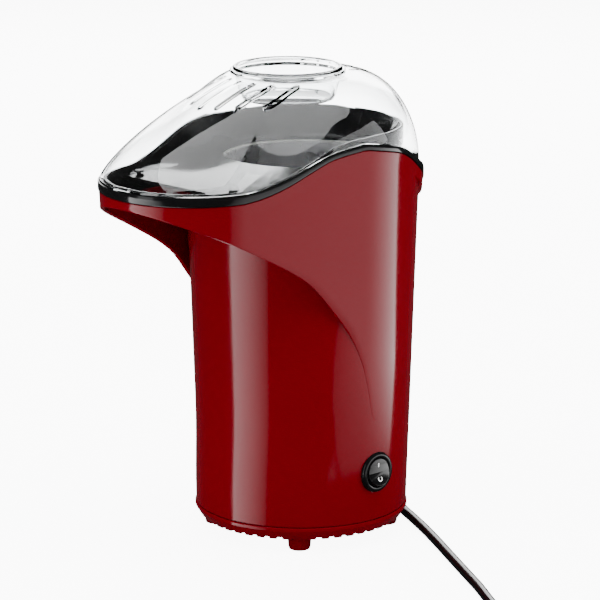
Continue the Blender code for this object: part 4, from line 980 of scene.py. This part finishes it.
@dataclass
class Lid:
    """The clear dome with its air slots, and the measuring cup that closes its top."""

    top_z: float = 284.0 * MM
    wall: float = 2.0 * MM
    cup_forward: float = 11.0 * MM
    cup_radius: float = 34.6 * MM
    vent_pitch: float = 10.4 * MM
    vent_width: float = 3.0 * MM
    vent_length: float = 35.0 * MM
    vent_start: float = 2.8 * MM
    vents_a_side: int = 3
    tab: tuple[float, float, float] = (15.0 * MM, 2.6 * MM, 2.6 * MM)
    bands: int = 26

    def build(self) -> None:
        """Makes the dome and the cup and hands them over."""
        rises = [1.0 - k / self.bands for k in range(self.bands)]
        outer = [self._ring(rise, 0.2 * MM, 0.0) for rise in rises]
        rims = [self._ring(0.0, inset, 0.0) for inset in (0.2 * MM, self.wall)]
        inner = [self._ring(rise, self.wall + 0.2 * MM, self.wall) for rise in reversed(rises)]
        dome = Bench.loft("lid_dome", outer + rims + inner)
        for k in range(-self.vents_a_side, self.vents_a_side + 1):
            side = k * self.vent_pitch
            clear = math.sqrt((self.cup_radius + self.vent_start) ** 2 - side**2)
            length = self.vent_length - 0.2 * abs(side)
            y = AXIS_Y - (self.cup_forward + clear + length / 2)
            self._vent(dome, side, y, length)
            if abs(k) < self.vents_a_side:
                y = AXIS_Y - (self.cup_forward - clear - 0.25 * length)
                self._vent(dome, side, y, 0.5 * length)
        Bench.smooth(dome, 30.0)
        Bench.hand_over(dome, CLEAR, "lid", ["lid"])
        self._cup()
        self._tab()

    def _tab(self) -> None:
        """Makes the small thumb tab that stands out from the dome's rim at the nose."""
        wide, deep, high = self.tab
        rim = PLAN.rim(0.0)[1]
        reach = PLAN.outline(0.0, rim) + 1.2 * MM - deep / 2
        place = (0, AXIS_Y - reach, rim + GAP + high / 2)
        tab = Bench.block("nose_tab", (wide, deep, high), place, 0.8 * MM)
        Bench.hand_over(Bench.smooth(tab, 30.0), CLEAR, "lid")

    def _vent(self, dome: bpy.types.Object, x: float, y: float, length: float) -> None:
        """Cuts one round-ended slot through the dome."""
        place = (x, y, self.top_z - 30 * MM)
        Bench.cut(dome, Bench.slot_cutter(self.vent_width, length, place, 60 * MM))

    def _ring(self, rise: float, inset: float, drop: float) -> list[Point]:
        """Gives one ring of the dome.

        Args:
            rise: 0 at the rim and 1 at the cup's seat.
            inset: How far inside the rim's outline the dome starts.
            drop: How far below the dome's outer top it ends.

        Returns:
            The ring's points.
        """
        seat = self.cup_radius - 1.6 * MM
        ring = []
        for angle in FINE:
            rim = PLAN.rim(angle)[1]
            radius = PLAN.outline(angle, rim, inset)
            power = 2 / (1.3 + 1.3 * ((1 - math.cos(angle)) / 2) ** 2)
            quarter = rise * math.pi / 2
            inward = 1 - max(0.0, math.cos(quarter)) ** power
            upward = math.sin(quarter) ** power
            start = Vector((radius * math.sin(angle), -radius * math.cos(angle)))
            end = Vector((seat * math.sin(angle), -self.cup_forward - seat * math.cos(angle)))
            at = start.lerp(end, inward)
            ring.append((at.x, at.y, mix(rim + GAP, self.top_z - drop, upward)))
        return ring

    def _cup(self) -> None:
        """Makes the measuring cup, with its flange and rolled lip."""
        low = self.top_z + GAP
        flange, bowl = low + 1.8 * MM, self.cup_radius - 2.8 * MM
        top, floor = flange + 1.8 * MM, low - 17 * MM
        profile = [
            (0, floor + 1.5 * MM),
            (bowl - 8 * MM, floor + 1.5 * MM),
            (bowl - 5.4 * MM, floor + 2.2 * MM),
            (bowl - 4 * MM, floor + 4 * MM),
            (bowl - 1.6 * MM, flange),
            (bowl - 1.2 * MM, top - 0.5 * MM),
            (bowl - 0.7 * MM, top),
            (bowl + 0.3 * MM, top),
            (bowl + 0.9 * MM, top - 0.6 * MM),
            (bowl + 1.2 * MM, flange),
            (self.cup_radius - 0.5 * MM, flange),
            (self.cup_radius, flange - 0.5 * MM),
            (self.cup_radius, low),
            (bowl - 0.2 * MM, low),
            (bowl - 2.6 * MM, floor + 3.4 * MM),
            (bowl - 4.2 * MM, floor + 1.0 * MM),
            (bowl - 6.6 * MM, floor),
            (0, floor),
        ]
        cup = Bench.spun("measure", profile, (0, AXIS_Y - self.cup_forward, 0), 128)
        Bench.hand_over(Bench.smooth(cup, 35.0), CLEAR, "cup", ["measuring_cup"])


# --- Switch --------------------------------------------------------------------------------------


@dataclass
class Switch:
    """The round rocker switch on the column's side."""

    height: float = 46.5 * MM
    bezel_radius: float = 12.25 * MM
    bezel_depth: float = 2.7 * MM
    barrel_radius: float = 10.0 * MM
    rocker_radius: float = 8.6 * MM
    tilt: float = math.radians(10.0)

    def __post_init__(self) -> None:
        """Works out where the bezel's back lies."""
        self.face = PLAN.column(self.height) - 1.0 * MM

    def build(self) -> None:
        """Makes the body, the rocker and its marks and hands them over."""
        face, front = self.face, self.face + self.bezel_depth
        cavity, bezel = self.rocker_radius + 0.45 * MM, self.bezel_radius
        profile = [
            (0, face - 7.5 * MM),
            (cavity, face - 7.5 * MM),
            (cavity, front - 0.6 * MM),
            (cavity + 0.2 * MM, front - 0.2 * MM),
            (cavity + 0.6 * MM, front),
            (bezel - 1.3 * MM, front),
            (bezel - 0.6 * MM, front - 0.2 * MM),
            (bezel - 0.15 * MM, front - 0.7 * MM),
            (bezel, front - 1.3 * MM),
            (bezel, face),
            (self.barrel_radius, face),
            (self.barrel_radius, face - 18 * MM),
            (0, face - 18 * MM),
        ]
        place = (0, AXIS_Y, self.height)
        body = Bench.spun("switch_bezel", profile, place, 96, along_x=True)
        Bench.hand_over(Bench.smooth(body, 35.0), BLACK, "base", ["switch_body"])
        self._rocker(front - 1.2 * MM)

    def _rocker(self, pivot: float) -> None:
        """Makes the rocker from its side view, rounds it, and adds its two marks."""
        half, deep = self.rocker_radius, 6 * MM
        side = [(2.6, 0.95), (1.9, 0.5), (1.6, 0.0), (1.9, -0.5), (2.6, -0.95)]
        side = [(x * MM, z * half) for x, z in side]
        side += [(-1 * MM, -half), (-deep, -0.72 * half), (-deep, 0.72 * half), (-1 * MM, half)]
        mesh = bpy.data.meshes.new("rocker")
        points = [(x, -1.2 * half, z) for x, z in side]
        mesh.from_pydata(points, [], [list(range(len(points)))])
        rocker = bpy.data.objects.new("rocker_key", mesh)
        bpy.context.scene.collection.objects.link(rocker)
        Bench.edit(
            rocker,
            lambda: bpy.ops.mesh.extrude_region_move(
                TRANSFORM_OT_translate={"value": (0, 2.4 * half, 0)}
            ),
        )
        Bench.tidy(rocker)
        self._place(rocker, pivot)
        foot, reach = 0.72 * half, 20 * MM
        round_off = [(0, reach), (half, reach), (half, -1 * MM), (foot, -deep)]
        round_off += [(foot, -reach), (0, -reach)]
        place = (pivot, AXIS_Y, self.height)
        Bench.cut(rocker, Bench.spun("round_off", round_off, place, 96, along_x=True), "INTERSECT")
        pressed = Bench.spun("round_pressed", round_off, (0, 0, 0), 96)
        pressed.rotation_euler = (0, math.pi / 2 - 2 * self.tilt, 0)
        pressed.location = place
        Bench.settle(pressed)
        Bench.cut(rocker, pressed, "INTERSECT")
        Bench.apply(
            rocker, "BEVEL", width=0.35 * MM, segments=3, limit_method="ANGLE",
            angle_limit=math.radians(40),
        )
        Bench.smooth(rocker, 30.0)
        Bench.hand_over(rocker, BLACK, "rocker", ["switch_rocker"])
        lean = math.atan2(0.7 * MM, 0.45 * half)
        on = Bench.block("mark_on", (0.12 * MM, 0.7 * MM, 3.2 * MM), (0, 0, 0), 0.03 * MM)
        on.rotation_euler = (0, lean, 0)
        on.location = (1.92 * MM, 0, 0.47 * half)
        bpy.ops.object.select_all(action="DESELECT")
        bpy.ops.mesh.primitive_torus_add(
            major_radius=1.45 * MM, minor_radius=0.35 * MM, major_segments=40, minor_segments=8
        )
        off = bpy.context.object
        off.name, off.scale = "mark_off", (1, 1, 0.25)
        Bench.settle(off)
        off.rotation_euler = (0, math.pi / 2 - lean, 0)
        off.location = (1.92 * MM, 0, -0.47 * half)
        for mark in (on, off):
            Bench.settle(mark)
            self._place(mark, pivot)
            Bench.hand_over(Bench.smooth(mark), MARK, "rocker")

    def _place(self, obj: bpy.types.Object, pivot: float) -> None:
        """Tilts a piece made about the pivot and moves it there."""
        obj.rotation_euler = (0, -self.tilt, 0)
        obj.location = (pivot, AXIS_Y, self.height)
        Bench.settle(obj)


SWITCH = Switch()


# --- Mains lead ----------------------------------------------------------------------------------


@dataclass
class MainsLead:
    """The mains lead, its strain relief, its stored coil with a tie, and its plug."""

    radius: float = 3.1 * MM
    relief: tuple[Point, ...] = (
        (-8.2, 92.8, 16.35), (-9.2, 100.4, 16.3), (-8.9, 105.0, 15.6), (-6.2, 108.4, 14.2),
        (-1.8, 109.4, 12.2), (3.0, 108.4, 10.0), (8.0, 105.8, 8.0), (12.4, 103.2, 6.6),
    )
    run: tuple[Point, ...] = (
        (12.4, 103.2, 6.6), (19.0, 99.6, 4.7), (26.5, 95.6, 3.5), (36.0, 90.4, 3.1),
        (46.5, 85.1, 3.1), (57.7, 79.3, 3.1), (71.5, 72.0, 3.1), (85.4, 64.2, 3.1),
        (100.5, 55.5, 3.1), (115.5, 46.7, 3.1), (129.0, 38.8, 3.1), (142.6, 30.9, 3.1),
        (155.3, 23.5, 3.1), (168.0, 16.1, 3.1), (178.3, 9.6, 3.1), (188.5, 3.0, 3.1),
        (200.0, -4.1, 3.1), (213.0, -12.0, 3.1), (226.0, -19.8, 3.1), (238.6, -27.4, 3.1),
        (250.2, -34.5, 3.1),
    )
    tail: tuple[Point, ...] = (
        (279.1, -81.0, 9.25), (279.1, -85.5, 8.8), (279.1, -91.0, 7.6), (279.2, -97.0, 6.2),
        (279.3, -103.0, 5.2), (279.4, -109.0, 5.0), (279.6, -116.0, 5.95), (279.7, -122.7, 7.0),
    )
    coil_middle: tuple[float, float] = (241.9, -73.0)
    outer_turn: float = 37.2
    inner_turn: float = 31.0
    start_angle: float = 58.7
    step: float = 22.5

    def coil(self) -> list[Point]:
        """Winds the stored turns: out, in, up and out again, a diameter apart.

        Returns:
            The coil's points, in millimetres.
        """
        points = []
        turned, whole = 0.0, self.start_angle + 3 * 360
        low, high = self.radius / MM, 3 * self.radius / MM
        while turned < whole - 0.5 * self.step:
            inwards = ease(298, 360, turned)
            outwards = ease(898, 958, turned)
            radius = mix(self.outer_turn, self.inner_turn, inwards - outwards)
            z = mix(low, high, ease(598, 658, turned))
            a = math.radians(self.start_angle - turned)
            x, y = self.coil_middle
            points.append((x + radius * math.cos(a), y + radius * math.sin(a), z))
            turned += self.step
        points.append((self.coil_middle[0] + self.outer_turn, self.coil_middle[1], high))
        return points

    def build(self) -> None:
        route = [Vector(p) * MM for p in (*self.run, *self.coil(), *self.tail)]
        lead = self._curve("mains_lead", route, [1.0] * len(route), self.radius)
        Bench.hand_over(lead, RUBBER, "base", ["power_cord", "cord_coil", "cord_tail"])
        sleeve = self._sleeve()
        for node, name, bevel, finish in (
            ("plug_body", "plug_moulding", 1.2 * MM, RUBBER),
            ("plug_pin_left", "plug_blade_left", 0.3 * MM, BRASS),
            ("plug_pin_right", "plug_blade_right", 0.3 * MM, BRASS),
            ("coil_tie", "lead_tie", 0.5 * MM, SATIN_BLACK),
        ):
            piece = Bench.refined(node, name, bevel)
            Bench.hand_over(piece, finish, "base", [node])

    def _sleeve(self) -> bpy.types.Object:
        """Makes the ribbed strain relief that tapers along its bend."""
        points, sizes = [], []
        spans = 6
        count = (len(self.relief) - 1) * spans
        guide = [Vector(p) * MM for p in self.relief]
        for k in range(count + 1):
            whole, u = divmod(k / spans, 1.0)
            index = min(int(whole), len(guide) - 2)
            u = u if whole == index else 1.0
            a = guide[index - 1] if index else 2 * guide[0] - guide[1]
            b, c = guide[index], guide[index + 1]
            d = guide[index + 2] if index + 2 < len(guide) else 2 * c - b
            bend = (2 * a - 5 * b + 4 * c - d) * u**2 + (3 * b - a - 3 * c + d) * u**3
            points.append(b + 0.5 * ((c - a) * u + bend))
            rib = 0.86 if k % 4 in (2, 3) and 8 < k < count - 2 else 1.0
            sizes.append(mix(1.0, 0.83, ease(1, count, k)) * rib)
        sleeve = self._curve("strain_sleeve", points, sizes, 4.7 * MM, "POLY")
        Bench.pick(sleeve)
        bpy.ops.object.convert(target="MESH")
        sleeve = Bench.smooth(bpy.context.object, 50.0)
        return Bench.hand_over(sleeve, RUBBER, "base", ["strain_relief"])

    @staticmethod
    def _curve(
        name: str, points: Sequence[Vector], sizes: Sequence[float], radius: float,
        kind: str = "BEZIER",
    ) -> bpy.types.Object:
        """Makes a round lead through points.

        Args:
            name: Its name.
            points: The points of its middle line.
            sizes: Its radius at each, as a share.
            radius: Its full radius.
            kind: The spline's type.

        Returns:
            The curve.
        """
        data = bpy.data.curves.new(name, "CURVE")
        data.dimensions = "3D"
        data.bevel_depth, data.bevel_resolution = radius, 6
        data.resolution_u = data.render_resolution_u = 8
        data.use_fill_caps = True
        spline = data.splines.new(kind)
        items = spline.bezier_points if kind == "BEZIER" else spline.points
        items.add(len(points) - 1)
        for item, point, size in zip(items, points, sizes):
            item.co = point if kind == "BEZIER" else (*point, 1.0)
            item.radius = size
            if kind == "BEZIER":
                item.handle_left_type = item.handle_right_type = "AUTO"
        obj = bpy.data.objects.new(name, data)
        bpy.context.scene.collection.objects.link(obj)
        return obj


# --- Inside --------------------------------------------------------------------------------------


@dataclass
class Inside:
    """The blower, heater and popping chamber, and the small parts round them."""

    dressed: dict[str, Finish] = field(
        default_factory=lambda: {
            "chamber_seal": SOFT,
            "heater_can": STEEL,
            "heater_coil": STEEL,
            "heater_frame": MICA,
            "thermostat": HEATPROOF,
            "thermal_fuse": STEEL,
            "fan_housing": HEATPROOF,
            "motor_can": STEEL,
            "motor_end_cap": HEATPROOF,
            "motor_shaft": STEEL,
            "motor_armature": COPPER,
            "motor_magnet": FERRITE,
            "motor_grommet": RUBBER,
            "motor_screw": STEEL,
            "rectifier_board": BOARD,
            "diode": SATIN_BLACK,
            "fan": SPUN_ALUMINIUM,
            "chassis_screw": STEEL,
            "base_screw": STEEL,
            "clamp_screw": STEEL,
            "cord_clamp": HEATPROOF,
            "switch_terminal": BRASS,
            "lead_l": RUBBER,
        }
    )

    def build(self) -> None:
        """Rebuilds the popping chamber and dresses the CAD nodes that stay."""
        chamber = Bench.refined("popping_chamber", "chamber_cup")
        Bench.hand_over(chamber, SPUN_ALUMINIUM, "base", ["popping_chamber"])
        for name, node in sorted(frame["nodes"].items()):
            if node.hide_render:
                continue
            finish = self._finish_for(name)
            for holder in node.material_slots:
                holder.material = finish.material()
            LOG.info("%s keeps its CAD shape in %s", name, finish.name)

    def _finish_for(self, name: str) -> Finish:
        """Finds the finish whose name is the longest start of a node's name."""
        fits = [start for start in self.dressed if name.startswith(start)]
        return self.dressed[max(fits, key=len)]


# --- Studio --------------------------------------------------------------------------------------


@dataclass
class Card:
    """A soft light: a glowing card that faces the appliance."""

    name: str
    azimuth: float
    distance: float
    height: float
    size: tuple[float, float]
    power: float
    mirrored: bool = True

    def build(self) -> None:
        """Hangs the card and aims it."""
        data = bpy.data.lights.new(self.name, "AREA")
        data.shape, data.size, data.size_y = "RECTANGLE", *self.size
        data.energy = self.power
        light = bpy.data.objects.new(self.name, data)
        light.visible_glossy = self.mirrored
        a = math.radians(self.azimuth)
        light.location = (
            self.distance * math.sin(a), AXIS_Y - self.distance * math.cos(a), self.height
        )
        aim = Vector((0, AXIS_Y, 0.15)) - light.location
        light.rotation_euler = aim.to_track_quat("-Z", "Y").to_euler()
        bpy.context.scene.collection.objects.link(light)


@dataclass
class Panel:
    """A glowing sheet on the floor beside the view, which shows as a soft band in the gloss."""

    name: str
    rings: tuple[tuple[float, float, float, float], ...]
    glow: tuple[float, float, float]
    spans: int = 24

    def build(self) -> None:
        """Lays the panel ring by ring: (radius, first and last azimuth, share of the glow)."""
        points, glows = [], []
        low, middle, high = self.glow
        for k in range(self.spans + 1):
            half = 2 * k / self.spans
            glow = mix(low, middle, half) if half < 1 else mix(middle, high, half - 1)
            for radius, first, last, share in self.rings:
                a = math.radians(mix(first, last, k / self.spans))
                points.append((radius * math.sin(a), AXIS_Y - radius * math.cos(a), 1 * MM))
                glows.append(share * glow)
        count = len(self.rings)
        starts = [count * k + m for k in range(self.spans) for m in range(count - 1)]
        faces = [(n, n + 1, n + count + 1, n + count) for n in starts]
        mesh = bpy.data.meshes.new(self.name)
        mesh.from_pydata(points, [], faces)
        mesh.attributes.new("glow", "FLOAT", "POINT").data.foreach_set("value", glows)
        panel = bpy.data.objects.new(self.name, mesh)
        bpy.context.scene.collection.objects.link(panel)
        sheet = bpy.data.materials.new(self.name)
        sheet.use_nodes = True
        tree = sheet.node_tree
        shader = tree.nodes["Principled BSDF"]
        shader.inputs["Base Color"].default_value = (0.93, 0.93, 0.93, 1)
        shader.inputs["Emission Color"].default_value = (1, 1, 1, 1)
        value = tree.nodes.new("ShaderNodeAttribute")
        value.attribute_name = "glow"
        tree.links.new(value.outputs["Fac"], shader.inputs["Emission Strength"])
        mesh.materials.append(sheet)
        for ray in ("camera", "diffuse", "transmission", "shadow"):
            setattr(panel, f"visible_{ray}", False)


@dataclass
class Studio:
    """The camera, the floor and the lights."""

    azimuth: float = 46.0
    distance: float = 2.03
    height: float = 0.645
    pitch: float = 13.93
    lens: float = 206.0
    sideways: float = -1 / 600
    glow: tuple[float, float] = (0.0, 9.0)
    sky: tuple[float, float] = (0.35, 0.05)
    cards: tuple[Card, ...] = (
        Card("front_card", -10.0, 1.3, 0.45, (0.45, 1.3), 14.0),
        Card("side_card", 122.0, 1.3, 0.5, (0.9, 1.3), 16.0, mirrored=False),
        Card("back_card", 226.0, 1.8, 0.85, (1.6, 0.8), 40.0),
        Card("top_card", 46.0, 0.3, 2.2, (2.4, 2.4), 120.0, mirrored=False),
    )
    panels: tuple["Panel", ...] = (
        Panel(
            "front_panel", ((0.075, 0.0, 24.0, 0.8), (0.4, -28.0, 10.0, 0.8), (1.6, -33.0, 9.0, 1.0)),
            (30.0, 16.0, 0.0),
        ),
        Panel(
            "side_panel", ((0.2, 68.0, 140.0, 0.0), (0.42, 74.0, 153.0, 1.0), (1.6, 92.0, 151.0, 1.0)),
            (0.0, 6.0, 19.0),
        ),
    )

    def build(self) -> None:
        """Sets up the studio."""
        self._camera()
        self._floor()
        for light in (*self.cards, *self.panels):
            light.build()
        world = bpy.data.worlds.new("studio")
        world.use_nodes = True
        nodes, links = world.node_tree.nodes, world.node_tree.links
        nodes["Background"].inputs["Color"].default_value = (1, 1, 1, 1)
        ray, dim = nodes.new("ShaderNodeLightPath"), nodes.new("ShaderNodeMapRange")
        dim.inputs["To Min"].default_value, dim.inputs["To Max"].default_value = self.sky
        links.new(ray.outputs["Is Glossy Ray"], dim.inputs["Value"])
        links.new(dim.outputs["Result"], nodes["Background"].inputs["Strength"])
        bpy.context.scene.world = world

    def _camera(self) -> None:
        """Places the camera and makes it the scene's."""
        data = bpy.data.cameras.new("camera")
        data.lens, data.sensor_width = self.lens, 36.0
        data.shift_x = self.sideways
        data.clip_end = 100.0
        camera = bpy.data.objects.new("camera", data)
        a = math.radians(self.azimuth)
        camera.location = (
            self.distance * math.sin(a), AXIS_Y - self.distance * math.cos(a), self.height
        )
        camera.rotation_euler = (math.radians(90 - self.pitch), 0, a)
        bpy.context.scene.collection.objects.link(camera)
        bpy.context.scene.camera = camera

    def _floor(self) -> None:
        """Lays the plain pale floor."""
        bpy.ops.object.select_all(action="DESELECT")
        bpy.ops.mesh.primitive_plane_add(size=30.0)
        floor = bpy.context.object
        floor.name = "floor"
        paper = bpy.data.materials.new("paper")
        paper.use_nodes = True
        shader = paper.node_tree.nodes["Principled BSDF"]
        shader.inputs["Base Color"].default_value = (0.6, 0.6, 0.6, 1)
        shader.inputs["Roughness"].default_value = 0.9
        shader.inputs["Specular IOR Level"].default_value = 0.0
        shader.inputs["Emission Color"].default_value = (1, 1, 1, 1)
        nodes, links = paper.node_tree.nodes, paper.node_tree.links
        ray, seen = nodes.new("ShaderNodeLightPath"), nodes.new("ShaderNodeMath")
        seen.operation = "MAXIMUM"
        links.new(ray.outputs["Is Camera Ray"], seen.inputs[0])
        links.new(ray.outputs["Is Transmission Ray"], seen.inputs[1])
        glow = nodes.new("ShaderNodeMapRange")
        glow.inputs["To Min"].default_value, glow.inputs["To Max"].default_value = self.glow
        links.new(seen.outputs["Value"], glow.inputs["Value"])
        links.new(glow.outputs["Result"], shader.inputs["Emission Strength"])
        floor.data.materials.append(paper)
        floor.visible_glossy = False


def main() -> None:
    """Builds the studio and the appliance."""
    for part in (Studio(), MainsLead(), Housing(), Base(), Chute(), Lid(), SWITCH, Inside()):
        part.build()
        LOG.info("%s done", type(part).__name__)


if __name__ == "__main__":
    main()
